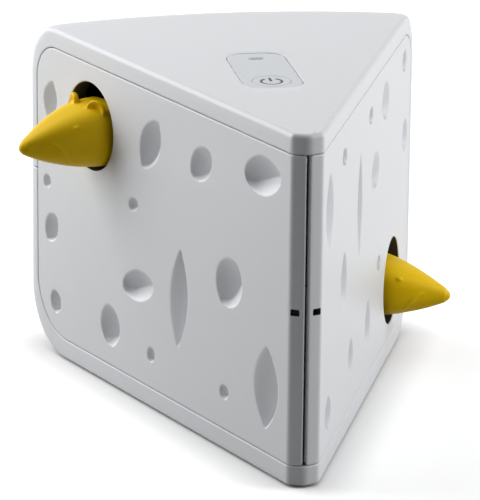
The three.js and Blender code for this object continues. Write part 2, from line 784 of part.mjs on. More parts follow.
// A contact plate on the front or back wall of the bay over some cells, with a cone spring at each
// cell whose flat end faces it
function contact(front, cells) {
  const half = cellRadius * 0.8;
  const wall = front ? boxY[0] + boxWall + seatGap / 2 : boxY[1] - boxWall - seatGap / 2;
  const face = front ? wall + contactThickness : wall - contactThickness;
  const [y0, y1] = [wall, face].sort((a, b) => a - b);
  const last = cells[cells.length - 1];
  const plate = block(cells[0].x - half, last.x + half, y0, y1, cellLevel - half, cellLevel + half);
  const springs = cells.filter(({ flipped }) => flipped !== front).map(({ x }) => {
    const height = springLength + contactThickness / 2;
    const cone = new THREE.CylinderGeometry(cellRadius * 0.4, cellRadius * 0.62, height, screwSides);
    if (!front) cone.rotateX(Math.PI);
    const middle = front ? face + springLength / 2 : face - springLength / 2;
    return solid(cone.translate(x, middle + (front ? -1 : 1) * (contactThickness / 4), cellLevel));
  });
  return joined([plate, ...springs]);
}

// Controls on the roof
const boardX = [-boardWidth / 2, boardWidth / 2];
const boardY = [padCentre - boardLength / 2, padCentre + boardLength / 2];
const leadY = boxFront - socketSize;
const boardPostPlaces = [-1, 1].map((way) => new THREE.Vector2(
  way * (boardWidth / 2 - boardPostRadius), padCentre + way * (boardLength / 2 - boardPostRadius),
));

function lightShape(grow, z0, z1) {
  const radius = lightWidth / 2 + grow;
  return extruded(
    roundedRectangle(lightLength + 2 * grow, 2 * radius, radius * 0.99, 0, lightCentre), z0, z1,
  );
}

function controlPad() {
  const outline = roundedRectangle(padWidth, padLength, padCorner, 0, padCentre);
  const floor = bodyHeight - padSink - padThickness;
  const ends = [floor - overrun, bodyHeight + overrun];
  return extruded(outline, floor, bodyHeight - padSink)
    .subtract(rod(buttonRadius + buttonGap, 0, buttonCentre, ...ends, wideSides))
    .subtract(lightShape(seatGap, ...ends));
}

const switchTop = boardLevel + boardThickness + switchHeight;

function powerButton() {
  const flangeTop = roofUnderside - runningGap;
  const dome = padSink;
  const profile = [
    [0, switchTop + buttonTravel + seatGap], [stemRadius, switchTop + buttonTravel + seatGap],
    [stemRadius, flangeTop - buttonFlangeThickness],
    [buttonRadius + buttonFlange, flangeTop - buttonFlangeThickness],
    [buttonRadius + buttonFlange, flangeTop], [buttonRadius, flangeTop],
    [buttonRadius, bodyHeight - padSink - dome], [buttonRadius * 0.85, bodyHeight - padSink],
    [0, bodyHeight - padSink],
  ];
  return turned(profile, wideSides, 0, buttonCentre, 0);
}

function statusLight() {
  const shelf = roofUnderside - seatGap;
  const emitterTop = boardLevel + boardThickness + emitterHeight;
  return lightShape(0, emitterTop + seatGap, bodyHeight - padSink)
    .add(lightShape(seatGap * 4, shelf - boardThickness / 2, shelf));
}

function circuitBoard() {
  const board = block(...boardX, ...boardY, boardLevel, boardLevel + boardThickness - seatGap);
  const holes = boardPostPlaces.map((place) => rod(
    boardScrewRadius + runningGap / 2, place.x, place.y,
    boardLevel - overrun, boardLevel + overrun, screwSides,
  ));
  return board.subtract(joined(holes));
}

function boardScrew(place) {
  const seat = boardLevel - runningGap / 2;
  return rod(boardScrewRadius, place.x, place.y, seat, seat + 3 * boardThickness, screwSides)
    .add(rod(2 * boardScrewRadius, place.x, place.y, seat - boardThickness / 2, seat, screwSides));
}

function keySwitch() {
  const base = boardLevel + boardThickness;
  const half = switchSize / 2;
  return block(-half, half, buttonCentre - half, buttonCentre + half, base, base + switchHeight * 0.8)
    .add(rod(stemRadius * 0.75, 0, buttonCentre, base + switchHeight * 0.6, switchTop));
}

function lightEmitter() {
  const base = boardLevel + boardThickness;
  return rod(emitterRadius, 0, lightCentre, base, base + emitterHeight, screwSides);
}

function controlChip() {
  const base = boardLevel + boardThickness;
  const half = chipSize / 2;
  return block(-half, half, padCentre - half, padCentre + half, base, base + chipHeight);
}

function leadSocket() {
  const half = socketSize / 2;
  return block(
    -half - leadSpacing / 2, half + leadSpacing / 2, leadY - half, leadY + half,
    boardLevel - socketSize, boardLevel - seatGap,
  );
}

// Decks
function driveDeck(side, level) {
  const { pivot, motor, idler } = axles(side);
  const plate = housing(deckInset).intersect(block(
    -reachAll, reachAll, deckFront, deckBack, level, level + deckThickness,
  ));
  const back = side.up > 0 ? level : level + deckThickness;
  const ring = [back, back - side.up * socketHeight].sort((a, b) => a - b);
  const inner = motorRadius + seatGap;
  const socket = tube(inner, socketRadius, side.sign * motor.x, motor.y, ...ring, wideSides);
  const through = (radius, x, y) => rod(radius, x, y, level - overrun, level + deckThickness + overrun);
  return plate.add(socket).subtract(joined([
    ...deckPosts.map((place) => through(screwRadius + runningGap, place.x, place.y)),
    through(motorNeckRadius + runningGap, side.sign * motor.x, motor.y),
    through(idlerPinRadius + runningGap, side.sign * idler.x, idler.y),
    through(shaftRadius + runningGap, side.sign * pivot.x, pivot.y),
  ]));
}

// The columns are moulded on the upper deck and stand on the lower one
function upperDeck() {
  const columns = deckPosts.map((place) => tube(
    screwRadius + runningGap, postRadius, place.x, place.y,
    lowerDeckLevel + deckThickness + seatGap, upperDeckLevel + deckThickness / 2,
  ));
  return driveDeck(sides.left, upperDeckLevel).add(joined(columns));
}

function deckScrew(place) {
  const seat = upperDeckLevel + deckThickness + runningGap;
  return screw(place.x, place.y, seat, seat - lowerDeckLevel + deckScrewLength - runningGap, -1);
}

function caseScrew(place) {
  return screw(place.x, place.y, partingHeight - caseScrewGrip - runningGap, caseScrewLength, 1);
}

// Gears
function involutePoint(baseRadius, radius) {
  const grown = Math.sqrt(Math.max((radius / baseRadius) ** 2 - 1, 0));
  return grown - Math.atan(grown);
}

function toothOutline(teeth) {
  const pitch = (gearModule * teeth) / 2;
  const base = pitch * Math.cos(pressureAngle);
  const tip = pitch + gearAddendum * gearModule;
  const root = pitch - gearDedendum * gearModule;
  const halfAtPitch = Math.PI / (2 * teeth) - gearBacklash / (2 * pitch);
  const flank = (radius) => halfAtPitch + involutePoint(base, pitch) - involutePoint(base, radius);
  const start = Math.max(base, root);
  return [[root, flank(start)], [tip, flank(tip)]];
}

function gearShape(teeth, phase, centre, from, to) {
  const shape = new THREE.Shape();
  const step = (2 * Math.PI) / teeth;
  const flank = toothOutline(teeth);
  const points = [];
  for (let i = from; i < to; i += 1) {
    const middle = phase + i * step;
    flank.forEach(([radius, half]) => points.push([radius, middle - half]));
    [...flank].reverse().forEach(([radius, half]) => points.push([radius, middle + half]));
  }
  points.forEach(([radius, angle], i) => {
    const place = [centre.x + radius * Math.cos(angle), centre.y + radius * Math.sin(angle)];
    if (i === 0) shape.moveTo(...place);
    else shape.lineTo(...place);
  });
  return shape;
}

function wholeGear(teeth, phase, place, z0, z1) {
  const shape = gearShape(teeth, phase, place, 0, teeth);
  shape.closePath();
  return extruded(shape, z0, z1);
}

// The phase that puts the second gear's gap opposite the first gear's tooth
function meshPhase(firstPhase, firstTeeth, secondTeeth, direction) {
  const offset = firstPhase - direction;
  return direction + Math.PI - (offset * firstTeeth) / secondTeeth + Math.PI / secondTeeth;
}

function drivePhases(side) {
  const { pivot, motor, idler } = axles(side);
  const direction = Math.atan2(idler.y - pivot.y, idler.x - pivot.x);
  const onward = Math.atan2(motor.y - idler.y, motor.x - idler.x);
  const sectorMiddle = direction - swingRange / 2;
  const sectorPhase = sectorMiddle + side.rest;
  const idlerPhase = meshPhase(sectorPhase, sectorTeeth, pinionTeeth, direction);
  const pinionPhase = meshPhase(idlerPhase, idlerTeeth, pinionTeeth, onward);
  return { sectorMiddle, idlerPhase, pinionPhase };
}

// A piece drawn with the mouse fully out, turned to where it rests
function atRest(side, manifold) {
  const { pivot } = axles(side);
  return turnedAbout(manifold, pivot, side.rest);
}

function turnedAbout(manifold, place, angle) {
  const geometry = geometryOf(manifold);
  geometry.translate(-place.x, -place.y, 0).rotateZ(angle).translate(place.x, place.y, 0);
  return solid(geometry);
}

const hubBore = shaftRadius + runningGap + bushWall + runningGap / 2;

function sectorGear(side) {
  const { pivot } = axles(side);
  const { sectorMiddle } = drivePhases(side);
  const middle = (sectorToothCount - 1) / 2;
  const [z0, z1] = levels(side, sectorLevels[0], sectorLevels[1]);
  const shape = gearShape(sectorTeeth, sectorMiddle, pivot, -middle, middle + 1);
  shape.lineTo(pivot.x, pivot.y);
  shape.closePath();
  const hub = rod(hubRadius, pivot.x, pivot.y, z0, z1, wideSides);
  return onSide(side, atRest(side, extruded(shape, z0, z1).add(hub).subtract(
    hubKey(side, runningGap, z0 - overrun, z1 + overrun),
  )));
}

// The boss with two flats that turns the sector with the arm
function hubKey(side, grow, z0, z1) {
  const { pivot } = axles(side);
  const half = keyHalfWidth + grow;
  return rod(keyRadius + grow, pivot.x, pivot.y, z0, z1, wideSides)
    .intersect(block(pivot.x - half, pivot.x + half, 0, reachAll, z0 - overrun, z1 + overrun));
}

function idlerGear(side) {
  const { idler } = axles(side);
  const { idlerPhase } = drivePhases(side);
  const [big0, big1] = levels(side, pinionLevels[0], pinionLevels[1]);
  const [small0, small1] = levels(side, pinionLevels[1] - gearSpacing, sectorLevels[1]);
  const big = wholeGear(idlerTeeth, idlerPhase, idler, big0, big1);
  const small = wholeGear(pinionTeeth, idlerPhase, idler, small0, small1);
  const bore = rod(
    idlerPinRadius + runningGap, idler.x, idler.y,
    Math.min(big0, small0) - overrun, Math.max(big1, small1) + overrun,
  );
  return onSide(side, big.add(small).subtract(bore));
}

function idlerPin(side) {
  const { idler } = axles(side);
  const [shank0, shank1] = levels(side, -deckThickness, sectorLevels[1] + runningGap + pinHeadThickness / 2);
  const [head0, head1] = levels(
    side, sectorLevels[1] + runningGap, sectorLevels[1] + runningGap + pinHeadThickness,
  );
  return onSide(side, rod(idlerPinRadius, idler.x, idler.y, shank0, shank1, pinSides)
    .add(rod(pinHeadRadius, idler.x, idler.y, head0, head1)));
}

function motorPinion(side) {
  const { motor } = axles(side);
  const { pinionPhase } = drivePhases(side);
  const [z0, z1] = levels(side, pinionLevels[0], pinionLevels[1]);
  const [shaft0, shaft1] = levels(side, -deckThickness - motorLength / 2, pinionLevels[1] - gearSpacing);
  return onSide(side, wholeGear(pinionTeeth, pinionPhase, motor, z0, z1)
    .add(rod(motorShaftRadius, motor.x, motor.y, shaft0, shaft1, pinSides)));
}

function motorCan(side) {
  const { motor } = axles(side);
  const canEnd = -deckThickness - seatGap;
  const [can0, can1] = levels(side, canEnd, canEnd - motorLength);
  const [neck0, neck1] = levels(side, canEnd - seatGap, canEnd + motorNeckLength);
  const reach = motorRadius + overrun;
  const flats = block(
    motor.x - reach, motor.x + reach, motor.y - motorFlat, motor.y + motorFlat,
    can0 - overrun, can1 + overrun,
  );
  const can = rod(motorRadius, motor.x, motor.y, can0, can1, wideSides).intersect(flats);
  const neck = rod(motorNeckRadius, motor.x, motor.y, neck0, neck1);
  const far = side.up > 0 ? can0 : can1;
  const terminals = [-1, 1].map((way) => {
    const ends = [far + side.up * terminalSize, far - side.up * terminalLength].sort((a, b) => a - b);
    const x = motor.x + way * motorNeckRadius;
    return block(x - terminalSize, x + terminalSize, motor.y - seatGap, motor.y + seatGap, ends[0], ends[1]);
  });
  const [bore0, bore1] = levels(side, overrun, -deckThickness - motorLength / 2 - runningGap);
  return onSide(side, joined([can, neck, ...terminals])
    .subtract(rod(motorShaftRadius + runningGap, motor.x, motor.y, bore0, bore1, pinSides)));
}

// Arm, shaft and bushes
function pivotShaft(side) {
  const { pivot } = axles(side);
  const deck = side.face - side.up * deckThickness;
  const hubEnd = side.face + side.up * hubEndLevel;
  const [z0, z1] = [deck, (hubEnd + side.roof) / 2].sort((a, b) => a - b);
  return onSide(side, rod(shaftRadius, pivot.x, pivot.y, z0, z1));
}

function hubBush(side) {
  const { pivot } = axles(side);
  const inner = shaftRadius + runningGap;
  const [z0, z1] = levels(side, sectorLevels[0], hubLevels[1] - runningGap / 2);
  return onSide(side, tube(inner, inner + bushWall, pivot.x, pivot.y, z0, z1));
}

function headAnchor(side) {
  const place = wallPlace(side.hole, -headInset);
  return new THREE.Vector3(place.x, place.y, side.level - headDrop);
}

// From head space, nose along +X and ears up, to where the head is when fully out
function headPlacement(side) {
  const matrix = new THREE.Matrix4().makeRotationZ(-halfAngle - headTilt);
  const anchor = headAnchor(side);
  return matrix.premultiply(new THREE.Matrix4().makeTranslation(anchor.x, anchor.y, anchor.z));
}

function headRings(shrink, from, to, sideCount) {
  return headStationShares.slice(from, to).map(([along, wide, tall, drop]) => {
    const ring = [];
    for (let i = 0; i < sideCount; i += 1) {
      const angle = (2 * Math.PI * i) / sideCount;
      ring.push(new THREE.Vector3(
        headLength * along,
        Math.max(headHalfWidth * wide - shrink, shrink / 4) * Math.cos(angle),
        Math.max(headHalfHeight * tall - shrink, shrink / 4) * Math.sin(angle) - headHalfHeight * drop,
      ));
    }
    return ring;
  });
}

function placedHead(side, manifold) {
  const geometry = geometryOf(manifold).applyMatrix4(headPlacement(side));
  return onSide(side, atRest(side, solid(geometry)));
}

function ear(way) {
  const cup = new THREE.LatheGeometry([
    new THREE.Vector2(0, -earThickness / 2), new THREE.Vector2(earRadius * 0.8, -earThickness / 2),
    new THREE.Vector2(earRadius, earThickness / 4), new THREE.Vector2(earRadius * 0.86, earThickness / 2),
    new THREE.Vector2(earRadius * 0.5, 0), new THREE.Vector2(0, -earThickness / 8),
  ], smallSides);
  cup.rotateZ(-Math.PI / 2);
  cup.rotateZ(way * earTilt);
  return solid(cup.translate(earSetback, way * earSpread, earLift));
}

function mouseHead(side) {
  const body = stacked(headRings(0, 0, headStationShares.length, headSides));
  const noseDrop = headHalfHeight * headStationShares[headStationShares.length - 1][3];
  const nose = solid(new THREE.SphereGeometry(noseRadius, screwSides, noseSteps)
    .translate(headLength - noseRadius, 0, -noseDrop));
  const hollowRings = headRings(headWall, 0, hollowStations, smallSides);
  hollowRings[0] = hollowRings[0].map((point) => point.clone().setX(-overrun));
  const shell = joined([body, ear(-1), ear(1)]).subtract(stacked(hollowRings)).add(nose);
  const post = alongHead(headPostRadius, headPostSetback, headPostLength, smallSides);
  const web = block(
    headPostSetback, headPostLength, -headHalfWidth, headHalfWidth, -headWall / 2, headWall / 2,
  );
  const within = stacked(headRings(headWall / 2, 0, webStations, smallSides));
  const bore = alongHead(screwRadius + runningGap, -overrun, headPostLength - headPostSetback, screwSides);
  return placedHead(side, shell.add(post.add(web).intersect(within)).subtract(bore));
}

// A rod along the head's own axis
function alongHead(radius, from, to, sideCount) {
  const geometry = rodGeometry(radius, to - from, sideCount).rotateY(Math.PI / 2);
  return solid(geometry.translate((from + to) / 2, 0, 0));
}

const headScrewSeat = headInset - pivotInset - armThickness / 2 + screwHeadHeight;

function headScrew(side) {
  return placedHead(side, alongHead(screwRadius, headScrewSeat, headScrewSeat + headScrewLength, screwSides)
    .add(alongHead(screwHeadRadius, headScrewSeat - screwHeadHeight, headScrewSeat, smallSides)));
}

// A plate behind the head, in head space
function flange() {
  const disc = new THREE.CylinderGeometry(1, 1, flangeThickness, wideSides).rotateZ(Math.PI / 2);
  disc.scale(1, headHalfHeight - flangeShrink, headHalfWidth - flangeShrink).rotateX(Math.PI / 2);
  return solid(disc.translate(-flangeThickness / 2 - seatGap, 0, 0));
}

function swingArm(side) {
  const { pivot, pivotPlace } = axles(side);
  const [hub0, hub1] = levels(side, hubLevels[0], hubLevels[1]);
  const [beam0, beam1] = levels(side, armLevel - armHeight / 2, armLevel + armHeight / 2);
  const beamEnd = side.hole + armOverhang;
  const beamGeometry = new THREE.BoxGeometry(beamEnd - pivotPlace, beam1 - beam0, armThickness);
  const beamMiddle = (pivotPlace + beamEnd) / 2;
  const beam = fromWall(beamGeometry.translate(beamMiddle, (beam0 + beam1) / 2, -pivotInset));
  const bossDepth = pivotInset - headInset - seatGap - flangeThickness / 2;
  const anchorLevel = side.level - headDrop;
  const boss0 = Math.min(beam0, anchorLevel - armHeight / 2);
  const boss1 = Math.max(beam1, anchorLevel + armHeight / 2);
  const bossGeometry = new THREE.BoxGeometry(bossWidth, boss1 - boss0, bossDepth);
  const boss = fromWall(bossGeometry.translate(side.hole, (boss0 + boss1) / 2, -pivotInset + bossDepth / 2));
  const inHeadSpace = (piece) => solid(geometryOf(piece).applyMatrix4(headPlacement(side)));
  const hub = rod(hubRadius, pivot.x, pivot.y, hub0, hub1, wideSides);
  const [key0, key1] = levels(side, sectorLevels[0], (hubLevels[0] + hubLevels[1]) / 2);
  const key = hubKey(side, 0, key0, key1);
  const cuts = joined([
    rod(hubBore, pivot.x, pivot.y, hub0 - overrun - sectorThickness, hub1 + overrun + sectorThickness),
    inHeadSpace(alongHead(screwRadius + runningGap, -reachAll, overrun, screwSides)),
    inHeadSpace(alongHead(screwHeadRadius + runningGap, -reachAll, headScrewSeat + runningGap, smallSides)),
  ]);
  return onSide(side, atRest(side, joined([beam, boss, inHeadSpace(flange()), hub, key]).subtract(cuts)));
}

// Leads, clipped between their two ends
function lead(points, radius) {
  const section = new THREE.Shape();
  section.absarc(0, 0, radius, 0, 2 * Math.PI);
  const extrudePath = new THREE.CatmullRomCurve3(points, false, "centripetal");
  return solid(new THREE.ExtrudeGeometry(section, {
    steps: 4 * points.length, bevelEnabled: false, extrudePath, curveSegments: leadSteps,
  }));
}

function batteryLead(way) {
  const offset = (way * leadSpacing) / 2;
  const top = boardLevel - socketSize - seatGap;
  const bottom = boxTop - 2 * leadSpacing;
  const fromX = boxCentreX + cellPitch / 2 + offset;
  return lead([
    new THREE.Vector3(fromX, boxFront - seatGap, bottom),
    new THREE.Vector3(fromX, boxFront - leadSpacing / 2, bottom),
    new THREE.Vector3(fromX + leadSpacing, leadY, boxTop + leadSpacing),
    new THREE.Vector3(offset - leadSpacing, leadY, partingHeight / 2 + leadSpacing),
    new THREE.Vector3(offset, leadY, partingHeight),
    new THREE.Vector3(offset, leadY, top - 2 * leadSpacing),
    new THREE.Vector3(offset, leadY, top),
  ], leadRadius);
}

// Materials
function finish(colour, roughness, metalness) {
  return new THREE.MeshStandardMaterial({ color: colour, roughness, metalness });
}

const white = finish(0xe4e6e9, 0.42, 0);
const padGrey = finish(0xd8dbdd, 0.5, 0);
const yellow = finish(0xe8bf10, 0.38, 0);
const innerGrey = finish(0x9aa0a6, 0.6, 0);
const black = finish(0x26282b, 0.7, 0);
const steel = finish(0xb9bdc2, 0.3, 1);
const brass = finish(0xc3a354, 0.35, 1);
const gearWhite = finish(0xf0ead8, 0.5, 0);
const boardGreen = finish(0x2b6b3a, 0.6, 0);
const cellWrap = finish(0x3a3f47, 0.4, 0);
const clear = finish(0x9fa8a4, 0.2, 0);
const leadRed = finish(0xb02a2a, 0.6, 0);

const assembly = new THREE.Group();

function add(name, manifold, material) {
  const mesh = new THREE.Mesh(geometryOf(manifold), material);
  mesh.name = name;
  assembly.add(mesh);
}

const cells = cellPlaces();

add("upper_shell", upperShell(), white);
add("lower_shell", lowerShell(), white);
add("left_panel", panel(sides.left, leftDentShares), white);
add("right_panel", panel(sides.right, rightDentShares), white);
add("control_pad", controlPad(), padGrey);
add("power_button", powerButton(), padGrey);
add("status_light", statusLight(), clear);
add("circuit_board", circuitBoard(), boardGreen);
add("key_switch", keySwitch(), black);
add("light_emitter", lightEmitter(), clear);
add("control_chip", controlChip(), black);
add("lead_socket", leadSocket(), gearWhite);
add("lower_deck", driveDeck(sides.right, lowerDeckLevel), innerGrey);
add("upper_deck", upperDeck(), innerGrey);
add("battery_box", batteryBox(), innerGrey);
add("battery_door", batteryDoor(), white);
add("door_hinge_pin", hingePin(), steel);
add("door_screw", doorScrew(), steel);
add("front_contact_single", contact(true, [cells[0]]), steel);
add("front_contact_double", contact(true, [cells[1], cells[2]]), steel);
add("back_contact_double", contact(false, [cells[0], cells[1]]), steel);
add("back_contact_single", contact(false, [cells[2]]), steel);
add("battery_lead_red", batteryLead(-1), leadRed);
add("battery_lead_black", batteryLead(1), black);
cells.forEach((place, i) => add(`battery_cell_${i + 1}`, cell(place), cellWrap));
boardPostPlaces.forEach((place, i) => add(`board_screw_${i + 1}`, boardScrew(place), steel));
deckPosts.forEach((place, i) => add(`deck_screw_${i + 1}`, deckScrew(place), steel));
casePosts.forEach((place, i) => add(`case_screw_${i + 1}`, caseScrew(place), steel));
footPlaces.forEach((place, i) => add(["front_foot", "right_foot", "left_foot"][i], foot(place), black));
Object.values(sides).forEach((side) => {
  add(`${side.name}_mouse_head`, mouseHead(side), yellow);
  add(`${side.name}_head_screw`, headScrew(side), steel);
  add(`${side.name}_swing_arm`, swingArm(side), yellow);
  add(`${side.name}_hub_bush`, hubBush(side), brass);
  add(`${side.name}_sector_gear`, sectorGear(side), gearWhite);
  add(`${side.name}_pivot_shaft`, pivotShaft(side), steel);
  add(`${side.name}_idler_gear`, idlerGear(side), gearWhite);
  add(`${side.name}_idler_pin`, idlerPin(side), steel);
  add(`${side.name}_motor_pinion`, motorPinion(side), brass);
  add(`${side.name}_motor`, motorCan(side), steel);
});

// The origin is the middle of the underside of the whole toy's bounding box
const bounds = new THREE.Box3().setFromObject(assembly);
const middle = bounds.getCenter(new THREE.Vector3());
assembly.position.set(-middle.x, -middle.y, -bounds.min.z);

export default assembly;
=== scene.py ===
import math

import bmesh
import bpy
import numpy as np
from mathutils import Matrix, Vector
from mathutils.geometry import delaunay_2d_cdt


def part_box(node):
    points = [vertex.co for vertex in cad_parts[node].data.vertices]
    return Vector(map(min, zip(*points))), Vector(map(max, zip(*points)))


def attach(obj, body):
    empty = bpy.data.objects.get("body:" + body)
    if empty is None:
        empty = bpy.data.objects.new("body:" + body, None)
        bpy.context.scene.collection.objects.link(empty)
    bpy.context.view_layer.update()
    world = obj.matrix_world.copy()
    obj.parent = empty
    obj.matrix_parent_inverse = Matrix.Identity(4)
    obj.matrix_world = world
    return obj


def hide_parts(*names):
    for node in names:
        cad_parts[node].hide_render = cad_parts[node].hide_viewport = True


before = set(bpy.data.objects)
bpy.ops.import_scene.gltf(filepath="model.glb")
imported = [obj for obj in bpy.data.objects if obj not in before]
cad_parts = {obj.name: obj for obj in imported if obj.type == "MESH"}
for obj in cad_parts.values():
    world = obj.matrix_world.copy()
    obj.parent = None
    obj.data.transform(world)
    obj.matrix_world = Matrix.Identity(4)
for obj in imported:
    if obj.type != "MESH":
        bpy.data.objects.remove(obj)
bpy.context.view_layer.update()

# Housing sizes, in millimetres from the sharp front corner of the wedge
MM = 0.001
HALF_ANGLE = math.radians(22)
SIN, COS = math.sin(HALF_ANGLE), math.cos(HALF_ANGLE)
BODY_HEIGHT = 160
WALL_LENGTH = 253
RIND_RADIUS = 305
APEX_RADIUS = 9
RIND_CORNER = 8
TOP_ROUND = 24
BOTTOM_ROUND = 30
EDGE_FILLET = 2.2
FOOT_FILLET = 0.9
SKIN = 2.8
PARTING = 88
SEAM = 0.4
FRONT_SEAM = 1.7
FRONT_ROUND = 2.2
FRONT_BEND = 2.3
FACET_TURN = math.radians(22)
LIP_DEPTH = 3.2
LIP_REACH = 4
EDGE_ROUND = 0.55

# Side panel sizes
RIM = 9.5
STRIP = 12
PANEL_TOP_CORNER = 17
PANEL_BOTTOM_CORNER = 27
PANEL_APEX_CORNER = 1.4
HOLE_RADIUS = 21
HOLE_ROUND = 0.4
COLLAR_DEPTH = 8
SLOT_WIDTH = 4
SLOT_HEIGHT = 3
SLOT_CORNER = 0.5
SLOT_ALONG = 17
SLOT_LEVEL = 79.8
DENT_DEPTH = 6.5
DENT_SLOPES = {"left": 0.7, "right": 1.2}
VALLEY_END_SHARE = 0.84
VALLEY_ROUND = 0.2
DENT_RIM_ROUND = 0.05

# Control sizes
PAD_WIDTH = 27
PAD_LENGTH = 60
PAD_CORNER = 9
PAD_CENTRE = 122
PAD_SINK = 0.2
PAD_GAP = 0.35
PAD_DEPTH = 1.1
PAD_ROUND = 0.25
BUTTON_CENTRE = 104
BUTTON_RADIUS = 8.6
BUTTON_GAP = 0.35
BUTTON_HEIGHT = 2.6
BUTTON_DISH = 0.35
BUTTON_DISH_SHARE = 0.86
BUTTON_DISH_POWER = 0.8
BUTTON_ROUND = 0.3
LIGHT_CENTRE = 143
LIGHT_LENGTH = 6.4
LIGHT_WIDTH = 2.8
LIGHT_GAP = 0.3
LENS_HEIGHT = 2
LENS_SINK = 0.1
LENS_DOME = 0.15
LENS_ROUND = 0.2
LENS_CORNER_SHARE = 0.98
SYMBOL_RADIUS = 4.7
SYMBOL_WIDTH = 1.15
SYMBOL_PROUD = 0.06
SYMBOL_SINK = 0.1
SYMBOL_GAP = math.radians(64)
SYMBOL_BAR_SHARES = (0.12, 1.2)

# Posts, screws and openings of the shells
CASE_POST_RADIUS = 5.2
CASE_PIN_RADIUS = 4
POST_GAP = 0.3
SHAFT_BOSS_RADIUS = 4.7
SHAFT_BOSS_OVERLAP = 18
BOARD_POST_RADIUS = 2.6
BOARD_POST_LENGTH = 12.4
DECK_POST_RADIUS = 4
DECK_POST_TOP = 60.2
DOOR_GAP = 0.4
DOOR_TAB_HALF = 4.2
BOX_WALL = 1.4
SCREW_GRIP = 9
COUNTERBORE_RADIUS = 3.4
FOOT_SEAT_RADIUS = 5.8
FOOT_SEAT_DEPTH = 1.2

# Steps, margins and least gaps of the meshes
PANEL_STEP, PANEL_MARGIN, PANEL_GAP = 2.6, 2, 1.1
PANEL_FRONT_STEP, PANEL_FRONT_GAP = 0.8, 0.7
DENT_STEP, DENT_GRID_SHARE = 0.6, 0.75
SHELL_STEP, SHELL_MARGIN, SHELL_GAP = 3, 2.2, 0.8
SHELL_FRONT_STEP = 1.2
ROOF_STEP, ROOF_GAP = 7, 3
ROOF_GRID = (-110, 110, 0, 250)
RIM_STEP = 1.3
LOOP_STEP = 1.5
LIGHT_STEP = 0.4
LEVEL_STEP, LEVEL_GAP, LAST_LEVEL_GAP = 4, 0.02, 0.3
PLATE_STEP = 1
HOLE_SIDES = 120
POST_SIDES = 24
BORE_SIDES = 40
FILLET_STEPS = 7
LIP_POINTS = 240
FINE = 0.0001

# Places that follow
APEX_CENTRE = APEX_RADIUS / SIN
APEX_TANGENT = APEX_RADIUS / math.tan(HALF_ANGLE)
APEX_ARC = APEX_RADIUS * (math.pi / 2 - HALF_ANGLE)
RIND_CENTRE = WALL_LENGTH * COS - math.sqrt(RIND_RADIUS ** 2 - (WALL_LENGTH * SIN) ** 2)
WINDOW_END = WALL_LENGTH - STRIP
WINDOW_TOP = BODY_HEIGHT - RIM

pad_low, pad_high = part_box("control_pad")
OFFSET_X = (pad_low.x + pad_high.x) / 2 / MM
OFFSET_Y = (pad_low.y + pad_high.y) / 2 / MM - PAD_CENTRE
OFFSET_Z = pad_high.z / MM + PAD_SINK - BODY_HEIGHT
ORIGIN = np.array([OFFSET_X, OFFSET_Y, OFFSET_Z])

SIDES = {
    "left": {
        "sign": -1, "hole": 191, "level": 121, "rest": 0.0, "drop": 3.4, "pitch": math.radians(-2.5),
    },
    "right": {
        "sign": 1, "hole": 198, "level": 37, "rest": math.radians(8), "drop": 2, "pitch": math.radians(2.5),
    },
}

# Dents: place along the wall, level, width, height, how pointed, lean in radians, degrees below the
# horizontal that the slope faces, the valley's place as a share of the way and how hollow the slope is
DENTS = {
    "left": [
        (228.7, 124.8, 12.8, 19.5, 0.9, 0.2, 30, 0.85, 1.1),
        (136.8, 125.8, 17, 28, 0.75, 0.5, 48, 0.54, 1.15),
        (92.7, 127.9, 20.5, 15, 0.6, -0.7, 50, 0.72, 1.15),
        (41.8, 135.7, 29.5, 18, 0.6, -0.17, 58, 0.6, 1.15),
        (151.7, 93.7, 8.6, 6.2, 0.5, -0.3, 45, 0.7, 1.1),
        (232, 84.2, 7, 6.4, 0.5, -0.5, 45, 0.7, 1.1),
        (227.9, 62.3, 11.8, 15.6, 0.6, 0.5, 45, 0.8, 1.1),
        (147.3, 55.8, 28, 15, 0.6, -0.24, 62, 0.58, 1.15),
        (111.2, 59.8, 15.5, 48, 1, 0.05, 0, 0.84, 1.2),
        (68.6, 79.3, 21.6, 24.5, 0.6, 0.46, 48, 0.6, 1.15),
        (172.7, 29.1, 17.5, 20.3, 0.6, -0.15, 50, 0.66, 1.1),
        (224.2, 26.2, 9.9, 11.3, 0.6, -0.3, 40, 0.82, 1.1),
        (135.6, 25.7, 6.6, 7.2, 0.5, 0.2, 45, 0.75, 1.1),
        (71.9, 27.1, 7.5, 6.8, 0.5, -0.1, 45, 0.75, 1.1),
        (37.2, 39.9, 19.9, 38.4, 0.9, 0, 35, 0.78, 1.2),
    ],
    "right": [(*form, 0.82, 1.1) for form in [
        (222.5, 139, 11, 11, 0.6, 0, 30),
        (172, 133, 19, 19, 0.7, 0.15, 25),
        (134, 136, 10, 8, 0.5, 0, 30),
        (227.5, 101, 14, 16, 0.7, 0, 25),
        (69, 135, 11, 8, 0.5, 0, 30),
        (148, 106, 20, 19, 0.7, 0.35, 35),
        (35, 120, 17, 35, 0.9, 0, 15),
        (109, 101, 11.5, 49, 1, 0, 5),
        (72, 77, 14, 26, 0.8, 0, 20),
        (162, 57, 10, 7, 0.5, 0, 30),
        (135, 36, 13, 23, 0.8, 0, 20),
        (92, 34, 12, 18, 0.7, 0, 20),
        (38, 26, 14, 16, 0.7, 0, 30),
    ]],
}


